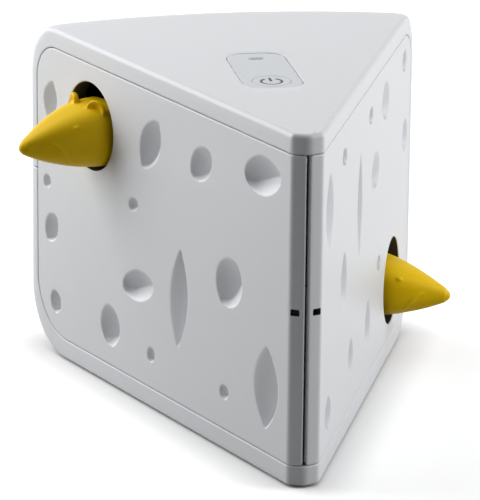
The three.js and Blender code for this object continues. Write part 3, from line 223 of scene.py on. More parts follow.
# Outline of the wedge in plan
def outline(inset, drop):
    corner = max(RIND_CORNER - inset, RIND_CORNER / 4)
    from_wall = inset + corner
    reach = RIND_RADIUS - drop - inset - corner
    bx = -COS * from_wall
    by = SIN * from_wall - RIND_CENTRE
    along = SIN * bx + COS * by
    distance = -along + math.sqrt(along ** 2 - bx ** 2 - by ** 2 + reach ** 2)
    centre = (SIN * distance - COS * from_wall, COS * distance + SIN * from_wall)
    turn = math.atan2(centre[1] - RIND_CENTRE, centre[0])
    return distance, centre, corner, turn, reach + corner


def rind_drop(z):
    below = max(BOTTOM_ROUND - z, 0)
    above = max(z - BODY_HEIGHT + TOP_ROUND, 0)
    return (
        BOTTOM_ROUND - math.sqrt(max(BOTTOM_ROUND ** 2 - below ** 2, 0))
        + TOP_ROUND - math.sqrt(max(TOP_ROUND ** 2 - above ** 2, 0))
    )


def edge_drop(distance, radius):
    """How far a rounded edge lies below the face beside it, as a negative height."""
    left = radius - np.clip(distance, 0, radius)
    return -(radius - np.sqrt(np.maximum(radius ** 2 - left ** 2, 0)))


def wall_u(along):
    return APEX_ARC + along - APEX_TANGENT


def rotated(x, y, angle):
    return x * math.cos(angle) - y * math.sin(angle), x * math.sin(angle) + y * math.cos(angle)


def around(count):
    return np.arange(count) * 2 * math.pi / count


def front_profile(count=600):
    """The front from its middle back to the flat wall: a rounding, a flat facet and a tighter bend."""
    wall_turn = math.pi / 2 - HALF_ANGLE

    def run(facet):
        knots = np.cumsum([0, FRONT_ROUND, facet, FRONT_BEND])
        at = np.linspace(0, knots[-1], count)
        turn = np.interp(at, knots, [0, FACET_TURN, FACET_TURN, wall_turn])
        middle = (turn[1:] + turn[:-1]) / 2
        x = np.concatenate([[0], np.cumsum(np.cos(middle) * np.diff(at))])
        y = APEX_CENTRE - APEX_RADIUS + np.concatenate([[0], np.cumsum(np.sin(middle) * np.diff(at))])
        return at, x, y, turn

    _, x, y, _ = run(0)
    facet = (SIN * y[-1] - COS * x[-1]) / math.cos(HALF_ANGLE + FACET_TURN)
    at, x, y, turn = run(facet)
    flat_from = SIN * x[-1] + COS * y[-1]
    length = at[-1] + APEX_TANGENT - flat_from
    end = (SIN * APEX_TANGENT, COS * APEX_TANGENT)
    at, turn = np.append(at, length), np.append(turn, wall_turn)
    return at * APEX_ARC / length, np.append(x, end[0]), np.append(y, end[1]), turn


FRONT_U, FRONT_X, FRONT_Y, FRONT_TURN = front_profile()


def on_front(u, out):
    """Points on the rounded front at distances round from the seam, moved out along its normal."""
    turn = np.interp(u, FRONT_U, FRONT_TURN)
    x = np.interp(u, FRONT_U, FRONT_X) + out * np.sin(turn)
    return x, np.interp(u, FRONT_U, FRONT_Y) - out * np.cos(turn)


def place_on_wall(u, z, out):
    """Points on both walls and the rounded front: signed distance round from the front seam, level, and
    height above the surface."""
    u, z, out = (np.asarray(a, float) for a in np.broadcast_arrays(u, z, out))
    round_x, round_y = on_front(np.minimum(np.abs(u), APEX_ARC), out)
    along = APEX_TANGENT + np.abs(u) - APEX_ARC
    flat = np.abs(u) > APEX_ARC
    x = np.where(flat, SIN * along + COS * out, round_x)
    y = np.where(flat, COS * along - SIN * out, round_y)
    return np.stack([x * np.sign(u + 1e-12), y, z], -1)


ARC_STEPS, WALL_STEPS, CORNER_STEPS, RIND_STEPS = 24, 70, 8, 26


def half_ring(z, inset, drop):
    """The right half of the outline at one level, from the front seam to the middle of the rind."""
    distance, centre, corner, turn, reach = outline(inset, drop)
    points = []
    for i in range(ARC_STEPS):
        points.append((*on_front(APEX_ARC * i / ARC_STEPS, -inset), z))
    for i in range(WALL_STEPS):
        along = APEX_TANGENT + (distance - APEX_TANGENT) * i / WALL_STEPS
        points.append((SIN * along - COS * inset, COS * along + SIN * inset, z))
    for i in range(CORNER_STEPS):
        angle = -HALF_ANGLE + (turn + HALF_ANGLE) * i / CORNER_STEPS
        points.append((centre[0] + corner * math.cos(angle), centre[1] + corner * math.sin(angle), z))
    for i in range(RIND_STEPS + 1):
        angle = turn + (math.pi / 2 - turn) * i / RIND_STEPS
        points.append((reach * math.cos(angle), RIND_CENTRE + reach * math.sin(angle), z))
    return np.array(points)


def full_ring(z, inset):
    half = half_ring(z, inset, rind_drop(z))
    other = half[1:-1][::-1] * [-1, 1, 1]
    return np.concatenate([half, other])


def linked(name, data):
    made = bpy.data.objects.new(name, data)
    bpy.context.scene.collection.objects.link(made)
    return made


def quads(rows, count, closed):
    """Faces between rows of points."""
    faces = []
    for low in range(0, (rows - 1) * count, count):
        for i in range(count if closed else count - 1):
            ahead = (i + 1) % count
            faces.append((low + i, low + ahead, low + count + ahead, low + count + i))
    return faces


# A bag of faces that becomes one mesh
class Skin:
    def __init__(self):
        self.verts = []
        self.faces = []

    def add(self, points, faces):
        start = sum(len(p) for p in self.verts)
        self.verts.append(np.asarray(points, float))
        self.faces += [tuple(start + i for i in face) for face in faces]

    def strip(self, rows, closed):
        """Quads between rows of points. Seen from outside, the rows run to the right and go upward."""
        self.add(np.concatenate(rows), quads(len(rows), len(rows[0]), closed))

    def mirror(self):
        other = Skin()
        other.verts = [p * [-1, 1, 1] for p in self.verts]
        other.faces = [face[::-1] for face in self.faces]
        return other

    def build(self, name, material, sharp=50, merge=0.002):
        points = (np.concatenate(self.verts) + ORIGIN) * MM
        mesh = bpy.data.meshes.new(name)
        mesh.from_pydata(points.tolist(), [], self.faces)
        work = bmesh.new()
        work.from_mesh(mesh)
        bmesh.ops.remove_doubles(work, verts=work.verts, dist=merge * MM)
        bmesh.ops.dissolve_degenerate(work, edges=work.edges, dist=merge * MM / 4)
        work.to_mesh(mesh)
        work.free()
        mesh.polygons.foreach_set("use_smooth", [True] * len(mesh.polygons))
        mesh.set_sharp_from_angle(angle=math.radians(sharp))
        mesh.materials.append(material)
        return linked(name, mesh)


# Flat patches cut along loops
def rounded_loop(x0, x1, y0, y1, corners, step):
    """A rectangle with its own radius at each corner: low right, high right, high left, low left."""
    radii = [max(c, 0.02) for c in corners]
    centres = [
        (x1 - radii[0], y0 + radii[0], -math.pi / 2), (x1 - radii[1], y1 - radii[1], 0),
        (x0 + radii[2], y1 - radii[2], math.pi / 2), (x0 + radii[3], y0 + radii[3], math.pi),
    ]
    corner_points = []
    for (x, y, start), radius in zip(centres, radii):
        count = max(4, int(radius * math.pi / 2 / step))
        arc = [start + math.pi / 2 * i / count for i in range(count + 1)]
        corner_points.append([(x + radius * math.cos(a), y + radius * math.sin(a)) for a in arc])
    points = []
    for i, arc in enumerate(corner_points):
        points += arc
        ahead = corner_points[(i + 1) % 4][0]
        count = max(1, int(math.dist(arc[-1], ahead) / step))
        points += [
            tuple(a + (b - a) * k / count for a, b in zip(arc[-1], ahead)) for k in range(1, count)
        ]
    return np.array(points)


def circle_loop(x, y, radius, count):
    angles = around(count)
    return np.stack([x + radius * np.cos(angles), y + radius * np.sin(angles)], -1)


def rectangle_loop(x, y, wide, long, corner, step=LOOP_STEP):
    """A function that gives the rounded rectangle grown by a distance."""
    def loop_at(d):
        return rounded_loop(
            x - wide / 2 - d, x + wide / 2 + d, y - long / 2 - d, y + long / 2 + d, [corner + d] * 4, step,
        )
    return loop_at


def hex_grid(x0, x1, y0, y1, step):
    rows = np.arange(y0, y1, step * math.sqrt(3) / 2)
    points = []
    for i, y in enumerate(rows):
        xs = np.arange(x0 + (step / 2 if i % 2 else 0), x1, step)
        points.append(np.stack([xs, np.full_like(xs, y)], -1))
    return np.concatenate(points)


def rounded_distance(x, y, x0, x1, y0, y1, corner):
    """Signed distance to a rounded rectangle, negative inside."""
    qx = np.abs(x - (x0 + x1) / 2) - (x1 - x0) / 2 + corner
    qy = np.abs(y - (y0 + y1) / 2) - (y1 - y0) / 2 + corner
    return np.minimum(np.maximum(qx, qy), 0) + np.hypot(np.maximum(qx, 0), np.maximum(qy, 0)) - corner


def window_distance(u, z):
    corner = np.where(z > BODY_HEIGHT / 2, PANEL_TOP_CORNER, PANEL_BOTTOM_CORNER)
    end = wall_u(WINDOW_END)
    return rounded_distance(u, z, -end, end, RIM, WINDOW_TOP, corner)


def patch(loops, open_lines, loose, keep):
    """Triangles over all the points, cut along the loops and lines, where keep says so."""
    points, edges = [], []
    for line, closed in [(loop, True) for loop in loops] + [(line, False) for line in open_lines]:
        start, count = len(points), len(line)
        points += [tuple(p) for p in line]
        edges += [(start + i, start + (i + 1) % count) for i in range(count if closed else count - 1)]
    points += [tuple(p) for p in loose]
    verts, _, faces, *_ = delaunay_2d_cdt([Vector(p) for p in points], edges, [], 0, 1e-5)
    flat = np.array([(v.x, v.y) for v in verts])
    tris = np.array([tuple(f) for f in faces])
    a, b, c = flat[tris[:, 0]], flat[tris[:, 1]], flat[tris[:, 2]]
    area = (b[:, 0] - a[:, 0]) * (c[:, 1] - a[:, 1]) - (b[:, 1] - a[:, 1]) * (c[:, 0] - a[:, 0])
    tris[area < 0] = tris[area < 0][:, ::-1]
    middle = (a + b + c) / 3
    return flat, tris[keep(middle[:, 0], middle[:, 1]) & (np.abs(area) > 1e-7)]


def used_only(flat, tris):
    """The points that the triangles use, and the triangles by their new numbers."""
    used = np.unique(tris)
    index = np.full(len(flat), -1)
    index[used] = np.arange(len(used))
    return flat[used], index[tris]


def nearest(points, others):
    """Distance from each point to the nearest of the others."""
    return np.hypot(points[:, None, 0] - others[:, 0], points[:, None, 1] - others[:, 1]).min(1)


def far_from(points, loops, distance):
    near = np.concatenate(loops)
    parts = np.array_split(points, len(points) // 2000 + 1)
    return np.concatenate([part[nearest(part, near) > distance] for part in parts])


def inside_mask(points, loop):
    x, y = points.T
    inside = np.zeros(len(points), bool)
    for (x0, y0), (x1, y1) in zip(loop, np.roll(loop, -1, axis=0)):
        if y0 != y1:
            inside ^= ((y0 > y) != (y1 > y)) & (x < (x1 - x0) * (y - y0) / (y1 - y0) + x0)
    return inside


def between(rim, holes):
    """A test for places inside the rim and outside the holes."""
    def keep(x, y):
        points = np.stack([x, y], -1)
        return inside_mask(points, rim) & ~np.any([inside_mask(points, loop) for loop in holes], axis=0)
    return keep


def flat_loop(loop, level):
    return np.column_stack([loop, np.full(len(loop), float(level))])


# Distances from an edge at which its rounding has rows of points
EDGE_ROWS = [0, 0.03, 0.1, 0.21, 0.36, 0.55, 0.95]
HOLE_ROWS = [0, 0.02, 0.07, 0.15, 0.26, 0.4, 0.9]
PAD_ROWS = [0, 0.05, 0.15, 0.3]
PLATE_ROW_SHARES = [0, 0.12, 0.4, 1]


# Scooped dents
def dent_outline(dent, count=96):
    _, _, wide, tall, point, lean, _, _, _ = dent
    angles = (np.arange(count) + 0.5) * 2 * math.pi / count
    across = np.sign(np.sin(angles)) * np.abs(np.sin(angles)) ** (2 * point) * wide / 2
    up = -np.cos(angles) * tall / 2
    return rotated(across, up, lean)


def chords(forward, aside, count=160):
    """Where lines across a closed outline enter and leave it, at evenly spaced places to the side."""
    places = np.linspace(aside.min(), aside.max(), count)
    ahead_forward, ahead_aside = np.roll(forward, -1), np.roll(aside, -1)
    low, high = np.zeros(count), np.zeros(count)
    for i, place in enumerate(places):
        crossing = (aside - place) * (ahead_aside - place) <= 0
        run = ahead_aside[crossing] - aside[crossing]
        share = np.where(np.abs(run) > 1e-9, (place - aside[crossing]) / np.where(run == 0, 1, run), 0)
        at = forward[crossing] + share * (ahead_forward[crossing] - forward[crossing])
        low[i], high[i] = at.min(), at.max()
    return places, low, high


def dent_height(dent, along, z, slope):
    """Height of the wall round one dent: a slope from one rim to a curved valley, and a rise behind it."""
    s0, z0, _, _, _, _, below, valley, hollow = dent
    way = math.pi + math.radians(below)
    places, low, high = chords(*rotated(*dent_outline(dent), -way))
    forward, aside = rotated(along - s0, z - z0, -way)
    across = (2 * places - places[0] - places[-1]) / (places[-1] - places[0])
    share = valley + max(VALLEY_END_SHARE - valley, 0) * across ** 2
    fall = (high - low) * share
    deepest = min(DENT_DEPTH, slope * fall.max()) * fall / fall.max()
    start, length, rise, deep = (
        np.interp(aside, places, row) for row in (low, fall, (high - low) * (1 - share), deepest)
    )
    gone = (forward - start) / np.maximum(length, 0.001)
    left = (start + length + rise - forward) / np.maximum(rise, 0.001)
    first = deep * np.sign(gone) * np.abs(gone) ** hollow
    second = deep * left
    depth = (first + second - np.sqrt((first - second) ** 2 + VALLEY_ROUND ** 2)) / 2
    return -(depth + np.sqrt(depth ** 2 + DENT_RIM_ROUND ** 2)) / 2


def dents_height(side_name, along, z):
    height = np.zeros_like(along)
    for dent in DENTS[side_name]:
        near = (np.abs(along - dent[0]) < dent[2]) & (np.abs(z - dent[1]) < dent[3])
        height[near] += dent_height(dent, along[near], z[near], DENT_SLOPES[side_name])
    return height


def panel(side_name, material):
    """A side wall from the front seam back to the rind, and the walls round its hole and slot, black as
    painted shade.
    """
    side = SIDES[side_name]
    start, end = FRONT_SEAM / 2, wall_u(WINDOW_END)
    hole = (wall_u(side["hole"]), side["level"])
    slot = (slot_u(), SLOT_LEVEL)

    def outer(d):
        corners = [PANEL_BOTTOM_CORNER, PANEL_TOP_CORNER, PANEL_APEX_CORNER, PANEL_APEX_CORNER]
        return rounded_loop(start + d, end - d, RIM + d, WINDOW_TOP - d, [c - d for c in corners], RIM_STEP)

    def slot_loop(d):
        x, z = SLOT_WIDTH / 2 + d, SLOT_HEIGHT / 2 + d
        bounds = (slot[0] - x, slot[0] + x, slot[1] - z, slot[1] + z)
        return rounded_loop(*bounds, [SLOT_CORNER + d] * 4, SLOT_CORNER)

    def distances(u, z):
        """How far places lie outside the window, beyond the seam and outside the hole."""
        return window_distance(u, z), u - start, np.hypot(u - hole[0], z - hole[1]) - HOLE_RADIUS

    def clear(points, margin):
        window, front, rim = distances(*points.T)
        return points[(window < -margin) & (front > margin) & (rim > margin)]

    loops = [outer(d) for d in EDGE_ROWS]
    loops += [circle_loop(*hole, HOLE_RADIUS + d, HOLE_SIDES) for d in HOLE_ROWS]
    loops += [slot_loop(d) for d in EDGE_ROWS[:-1]]
    fine = []
    for along, level, wide, tall, *_ in DENTS[side_name]:
        u, x, y = wall_u(along), wide * DENT_GRID_SHARE, tall * DENT_GRID_SHARE
        fine.append(hex_grid(u - x, u + x, level - y, level + y, DENT_STEP))
    fine = far_from(clear(np.concatenate(fine), 2 * DENT_STEP), loops, 0.75 * DENT_STEP)
    coarse = clear(hex_grid(SEAM, end, RIM, WINDOW_TOP, PANEL_STEP), PANEL_MARGIN)
    coarse = far_from(coarse, loops + [fine[::3]], PANEL_GAP)
    front = clear(hex_grid(SEAM, APEX_ARC + 2, RIM, WINDOW_TOP, PANEL_FRONT_STEP), 2 * DENT_STEP)
    front = far_from(front, loops, PANEL_FRONT_GAP)

    def keep(u, z):
        x, y = SLOT_WIDTH / 2, SLOT_HEIGHT / 2
        gap = rounded_distance(u, z, slot[0] - x, slot[0] + x, slot[1] - y, slot[1] + y, SLOT_CORNER)
        window, beyond, rim = distances(u, z)
        sag = HOLE_RADIUS * (1 - math.cos(math.pi / HOLE_SIDES)) + 10 * FINE
        return (window < 0) & (beyond > 0) & (gap > 0) & (rim > -sag)

    flat, tris = used_only(*patch(loops, [], np.concatenate([fine, coarse, front]), keep))
    u, z = flat.T
    window, beyond, rim = distances(u, z)
    height = dents_height(side_name, u - APEX_ARC + APEX_TANGENT, z)
    height = height + edge_drop(-window, EDGE_ROUND) + edge_drop(beyond, EDGE_ROUND)
    height = np.maximum(height + edge_drop(rim, HOLE_ROUND), -DENT_DEPTH)
    skin = Skin()
    skin.add(place_on_wall(u, z, height), tris)
    u, z = outer(0).T
    window, beyond, _ = distances(u, z)
    drop = edge_drop(-window, EDGE_ROUND) + edge_drop(beyond, EDGE_ROUND)
    skin.strip([place_on_wall(u, z, -SKIN), place_on_wall(u, z, drop)], True)

    # Walls round the hole and slot, black as painted shade for the shade inside the hole
    collar = Skin()
    rim = circle_loop(*hole, HOLE_RADIUS, HOLE_SIDES)
    for loop, depths in ((rim, (COLLAR_DEPTH, HOLE_ROUND)), (slot_loop(0), (SKIN, 0))):
        u, z = loop[::-1].T
        collar.strip([place_on_wall(u, z, -d) for d in depths], True)
    if side["sign"] < 0:
        skin, collar = skin.mirror(), collar.mirror()
    return skin.build(side_name + "_wall", material), collar.build(side_name + "_collar", collar_painted_shade)


def slot_u():
    """Where a straight cut at the slot's place meets the rounded front."""
    turn = math.asin((APEX_TANGENT - SLOT_ALONG) / APEX_RADIUS)
    return APEX_ARC - turn * APEX_RADIUS


# Upper and lower shells
ROUND_STEPS = {1: 22, -1: 26}


def corner_u(z):
    return wall_u(outline(0, rind_drop(z))[0])


def wall_along(point):
    return SIN * abs(point[0]) + COS * point[1]


def window_loop(grow):
    """The outline of both windows as one loop round the front, grown by a distance."""
    end = wall_u(WINDOW_END) + grow
    corners = [PANEL_BOTTOM_CORNER + grow, PANEL_TOP_CORNER + grow]
    return rounded_loop(-end, end, RIM - grow, WINDOW_TOP + grow, corners + corners[::-1], LOOP_STEP)


def shell_levels(way, parting, limit):
    """Levels of the rings from the parting edge to the rounded edge of the roof or the base."""
    radius = TOP_ROUND if way > 0 else BOTTOM_ROUND
    bend = BODY_HEIGHT - radius if way > 0 else radius
    count = ROUND_STEPS[way]
    steps = [parting + way * LEVEL_STEP * k for k in range(1, int(abs(bend - parting) / LEVEL_STEP) + 1)]
    rise = [bend + way * radius * math.sin(math.pi / 2 * i / count) for i in range(count + 1)]
    levels = [parting + way * d for d in EDGE_ROWS] + [limit]
    levels += [z for z in steps + rise if way * (limit - z) > LAST_LEVEL_GAP]
    levels = sorted(set(round(z, 4) for z in levels))
    return [z for i, z in enumerate(levels) if i == 0 or z - levels[i - 1] > LEVEL_GAP]


def rim_drop(u, z, parting):
    """How far a shell's walls draw in beside the windows and the parting edge."""
    return edge_drop(window_distance(u, z) - SEAM, EDGE_ROUND) + edge_drop(np.abs(z - parting), EDGE_ROUND)


def add_walls(skin, way, parting, limit, levels):
    """The flat walls and the rounded front, cut round the windows."""
    end = wall_u(WINDOW_END)
    reach = outline(0, rind_drop(limit))[0] - APEX_TANGENT
    across = [APEX_ARC * i / ARC_STEPS for i in range(ARC_STEPS)]
    across += [wall_u(APEX_TANGENT + reach * i / WALL_STEPS) for i in range(WALL_STEPS)]
    edge = [(corner_u(z), z) for z in levels[::way]]
    boundary = edge + [(u, limit) for u in across[::-1]]
    boundary += [(-u, limit) for u in across[1:]] + [(-u, z) for u, z in edge[::-1]]
    loops = [np.array(boundary)] + [window_loop(SEAM + d) for d in EDGE_ROWS]
    lines = []
    for z in [parting + way * d for d in EDGE_ROWS[1:]]:
        lines += [[(sign * (end - 2), z), (sign * corner_u(z), z)] for sign in (-1, 1)]
    low, high = min(levels), max(levels)

    def edge_at(z):
        return np.interp(z, levels, [corner_u(level) for level in levels])

    loose = hex_grid(-wall_u(WALL_LENGTH), wall_u(WALL_LENGTH), low, high, SHELL_STEP)
    u, z = loose.T
    loose = loose[(window_distance(u, z) > SHELL_MARGIN) & (np.abs(u) < edge_at(z) - 1)]
    front = hex_grid(-APEX_ARC - 2, APEX_ARC + 2, low, high, SHELL_FRONT_STEP)
    front = front[window_distance(*front.T) > 1.5 * SHELL_FRONT_STEP]
    loose = np.concatenate([loose, far_from(front, [loose], SHELL_GAP)])
    loose = far_from(loose, loops, SHELL_GAP)

    def keep(u, z):
        outside = window_distance(u, z) > SEAM - 50 * FINE
        return outside & (np.abs(u) < edge_at(z) + FINE) & (z > low) & (z < high)

    flat, tris = used_only(*patch(loops, lines, loose, keep))
    u, z = flat.T
    skin.add(place_on_wall(u, z, rim_drop(u, z, parting)), tris)


def add_flat_end(skin, way, far, radius, rim):
    """The flat roof or base inside its rounded edge, with its openings and their walls."""
    holes = roof_holes() if way > 0 else base_holes()
    loops = [rim, full_ring(far, radius + EDGE_ROUND / 2)[:, :2]]
    for loop_at, rows, _ in holes:
        loops += [loop_at(d) for d in rows]
    grid = hex_grid(*ROOF_GRID, ROOF_STEP)
    loose = far_from(grid[inside_mask(grid, rim)], loops, ROOF_GAP)
    flat, tris = patch(loops, [], loose, between(rim, [loop_at(0) for loop_at, _, _ in holes]))
    levels = np.full(len(flat), float(far))
    for loop_at, rows, _ in holes:
        for d in rows:
            levels[nearest(flat, loop_at(d)) < FINE] = far + way * edge_drop(d, rows[-1])
    skin.add(np.column_stack([flat, levels]), tris[:, ::way])
    for loop_at, rows, depth in holes:
        loop = loop_at(0)[::-1]
        sides = [flat_loop(loop, far - way * d) for d in (depth, rows[-1])]
        skin.strip(sides[::way], True)


def add_inner_edges(skin, way, parting):
    """The walls of the parting edge and of the windows, and the lip behind the windows."""
    ring = full_ring(parting, EDGE_ROUND)
    deep = full_ring(parting, SKIN)
    start = next(i for i, point in enumerate(ring) if wall_along(point) > WINDOW_END + SEAM)
    runs = [row[start:len(row) - start + 1] for row in (deep, ring)]
    skin.strip(runs[::way], False)
    u, z = clipped_run(window_loop(SEAM), parting, way).T
    skin.strip([place_on_wall(u, z, out) for out in (rim_drop(u, z, parting), -SKIN)], False)
    lips = [resampled(clipped_run(window_loop(grow), parting, way)) for grow in (-LIP_REACH, LIP_REACH)]
    skin.strip([place_on_wall(*lip.T, -LIP_DEPTH) for lip in lips], False)


def shell(upper, material):
    way = 1 if upper else -1
    parting = PARTING + way * SEAM / 2
    far, radius = (BODY_HEIGHT, EDGE_FILLET) if upper else (0, FOOT_FILLET)
    limit = far - way * radius
    levels = shell_levels(way, parting, limit)
    skin = Skin()
    add_walls(skin, way, parting, limit, levels)
    rows = []
    for z in levels:
        half = half_ring(z, -edge_drop(abs(z - parting), EDGE_ROUND), rind_drop(z))[ARC_STEPS + WALL_STEPS:]
        rows.append(np.concatenate([half, half[:-1][::-1] * [-1, 1, 1]]))
    skin.strip(rows, False)
    rows = []
    for i in range(FILLET_STEPS + 1):
        angle = math.pi / 2 * i / FILLET_STEPS
        rows.append(full_ring(limit + way * radius * math.sin(angle), radius * (1 - math.cos(angle))))
    skin.strip(rows[::way], True)
    add_flat_end(skin, way, far, radius, rows[-1][:, :2])
    add_inner_edges(skin, way, parting)
    for place, post_radius, z0, z1 in shell_posts(upper):
        loop = circle_loop(*place, post_radius, POST_SIDES)
        skin.strip([flat_loop(loop, z) for z in (z0, z1)], True)
    return skin.build("upper_housing" if upper else "lower_housing", material)


def clipped_run(loop, parting, way):
    """The part of a closed loop above or below the parting plane, as one open run ending on it."""
    kept = way * (loop[:, 1] - parting) > 0
    start = next(i for i in range(len(loop)) if kept[i] and not kept[i - 1])
    run = np.roll(loop, -start, axis=0)[:kept.sum()]
    return np.array([[run[0, 0], parting], *run, [run[-1, 0], parting]])


def resampled(run):
    length = np.concatenate([[0], np.cumsum(np.hypot(*np.diff(run, axis=0).T))])
    at = np.linspace(0, length[-1], LIP_POINTS)
    return np.stack([np.interp(at, length, run[:, 0]), np.interp(at, length, run[:, 1])], -1)


def roof_holes():
    """Loops, rows of their rounding and depths of the openings in the roof."""
    grow = PAD_GAP
    recess = rectangle_loop(0, PAD_CENTRE, PAD_WIDTH + 2 * grow, PAD_LENGTH + 2 * grow, PAD_CORNER + grow)
    return [(recess, PAD_ROWS, PAD_SINK + PAD_DEPTH)]


def boxed(name):
    """Lowest and highest corner of a node as millimetres from the sharp front corner."""
    return [np.array(point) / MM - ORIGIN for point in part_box(name)]


def middle_of(name):
    return (sum(boxed(name)) / 2)[:2]


def base_holes():
    """Loops, rows of their rounding and depths of the openings in the base."""
    low, high = boxed("battery_door")
    left, right = low[0] - DOOR_GAP, high[0] + DOOR_GAP
    front, tab_back = low[1] - DOOR_GAP, high[1] + DOOR_GAP
    back = boxed("battery_box")[1][1] - BOX_WALL
    tab_x = middle_of("door_screw")[0]
    tab = DOOR_TAB_HALF + DOOR_GAP
    door = np.array([
        (left, front), (right, front), (right, back), (tab_x + tab, back), (tab_x + tab, tab_back),
        (tab_x - tab, tab_back), (tab_x - tab, back), (left, back),
    ])
    holes = [(lambda d: door, [0], SKIN)]
    round_holes = [(f"case_screw_{i}", COUNTERBORE_RADIUS, PARTING - SCREW_GRIP) for i in (1, 2, 3)]
    for foot in ("front_foot", "left_foot", "right_foot"):
        round_holes.append((foot, FOOT_SEAT_RADIUS, FOOT_SEAT_DEPTH))
    for name, radius, depth in round_holes:
        loop = circle_loop(*middle_of(name), radius, BORE_SIDES)
        holes.append((lambda d, loop=loop: loop, [0], depth))
    return holes


def shell_posts(upper):
    """Places, radii and ends of the posts inside a shell."""
    roof = BODY_HEIGHT - SKIN
    posts = []
    for i in (1, 2, 3):
        place = middle_of(f"case_screw_{i}")
        if upper:
            posts.append((place, CASE_PIN_RADIUS, PARTING + POST_GAP, roof))
        else:
            posts.append((place, CASE_POST_RADIUS, SKIN, PARTING - POST_GAP))
    shaft = "left_pivot_shaft" if upper else "right_pivot_shaft"
    low, high = boxed(shaft)
    if upper:
        posts.append((middle_of(shaft), SHAFT_BOSS_RADIUS, high[2] - SHAFT_BOSS_OVERLAP, roof))
        for i in (1, 2):
            place = middle_of(f"board_screw_{i}")
            posts.append((place, BOARD_POST_RADIUS, BODY_HEIGHT - BOARD_POST_LENGTH, roof))
    else:
        posts.append((middle_of(shaft), SHAFT_BOSS_RADIUS, SKIN, low[2] + SHAFT_BOSS_OVERLAP))
        for i in (1, 2, 3):
            posts.append((middle_of(f"deck_screw_{i}"), DECK_POST_RADIUS, SKIN, DECK_POST_TOP))
    return posts


# Materials
CLOUD_SCALE = 28
CLOUD_SHARES = (0.3, 0.7)
GLOSS_SHARES = (0.9, 1.12)
GRAIN_DEPTH = 0.0002
COAT_ROUGHNESS = 0.15
# Black painted on inner faces and on the walls round the side holes as painted shade
PAINTED_SHADE_BLACK = 0x1C1D1F


def add_node(tree, kind, **values):
    node = tree.nodes.new("ShaderNode" + kind)
    for name, value in values.items():
        node.inputs[name.replace("_", " ")].default_value = value
    return node


def link(tree, *pairs):
    for source, target in pairs:
        tree.links.new(source, target)


def colour(hex_value):
    def channel(value):
        value /= 255
        return value / 12.92 if value <= 0.04045 else ((value + 0.055) / 1.055) ** 2.4
    return tuple(channel((hex_value >> shift) & 255) for shift in (16, 8, 0)) + (1.0,)


def moulded(name, hex_value, roughness, grain, scale, variety, coat=0, metal=0):
    """Moulded or cast surface: cloudy colour, uneven gloss and a fine grain."""
    material = bpy.data.materials.new(name)
    material.use_nodes = True
    tree = material.node_tree
    surface = tree.nodes["Principled BSDF"]
    place = add_node(tree, "TexCoord").outputs["Object"]
    clouds = add_node(tree, "TexNoise", Scale=CLOUD_SCALE, Detail=4)
    ramp = add_node(tree, "ValToRGB")
    base = colour(hex_value)[:3]
    for end, position, change in zip(ramp.color_ramp.elements, CLOUD_SHARES, (1 - variety, 1 + variety)):
        end.position = position
        end.color = tuple(min(c * change, 1) for c in base) + (1,)
    low, high = (roughness * share for share in GLOSS_SHARES)
    gloss = add_node(tree, "MapRange", To_Min=low, To_Max=high)
    fine = add_node(tree, "TexNoise", Scale=scale, Detail=3)
    bump = add_node(tree, "Bump", Strength=grain, Distance=GRAIN_DEPTH)
    link(
        tree, (place, clouds.inputs["Vector"]), (place, fine.inputs["Vector"]),
        (clouds.outputs["Fac"], ramp.inputs["Fac"]), (clouds.outputs["Fac"], gloss.inputs["Value"]),
        (fine.outputs["Fac"], bump.inputs["Height"]), (bump.outputs["Normal"], surface.inputs["Normal"]),
        (ramp.outputs["Color"], surface.inputs["Base Color"]),
        (gloss.outputs["Result"], surface.inputs["Roughness"]),
    )
    surface.inputs["Metallic"].default_value = metal
    if coat:
        surface.inputs["Coat Weight"].default_value = coat
        surface.inputs["Coat Roughness"].default_value = COAT_ROUGHNESS
    return material


def paint_inner_shade(material, hex_value):
    """The same material with black painted on the inner faces of its walls: painted shade for the dark
    inside of the body.
    """
    tree = material.node_tree
    surface = tree.nodes["Principled BSDF"]
    outer_colour = surface.inputs["Base Color"].links[0].from_socket
    choice = add_node(tree, "Mix")
    choice.data_type = "RGBA"
    choice.inputs[7].default_value = colour(hex_value)
    backfacing = add_node(tree, "NewGeometry").outputs["Backfacing"]
    link(
        tree, (backfacing, choice.inputs["Factor"]), (outer_colour, choice.inputs[6]),
        (choice.outputs[2], surface.inputs["Base Color"]),
    )
    return material


# Name, colour, roughness, grain, its scale, variety of the colour, coat
shell_white = moulded("shell_white", 0xE3E5E8, 0.42, 0.1, 1800, 0.008)
# The housing's inner faces get black as painted shade
housing_white_inner_shade = paint_inner_shade(moulded("housing_white_inner_shade", 0xE3E5E8, 0.42, 0.1, 1800, 0.008), PAINTED_SHADE_BLACK)
# Black for the walls round the side holes, painted shade
collar_painted_shade = moulded("collar_painted_shade", PAINTED_SHADE_BLACK, 0.6, 0.12, 1200, 0.03)
pad_grey = moulded("pad_grey", 0xD9DCDF, 0.5, 0.12, 2200, 0.01)
mouse_yellow = moulded("mouse_yellow", 0xF8CC00, 0.5, 0.1, 1200, 0.03)
mouse_yellow.node_tree.nodes["Principled BSDF"].inputs["Specular IOR Level"].default_value = 0.16
symbol_grey = moulded("symbol_grey", 0x2C2E33, 0.45, 0.05, 2000, 0.03)
lens_clear = moulded("lens_clear", 0x8E9694, 0.2, 0.03, 900, 0.04, 0.5)
inner_grey = moulded("inner_grey", 0x3C3F42, 0.6, 0.15, 900, 0.03)
black_rubber = moulded("black_rubber", 0x222325, 0.75, 0.3, 1500, 0.05)
board_green = moulded("board_green", 0x2B6B3A, 0.45, 0.1, 700, 0.08, 0.3)
gear_white = moulded("gear_white", 0xEDE6D2, 0.45, 0.1, 1200, 0.02)
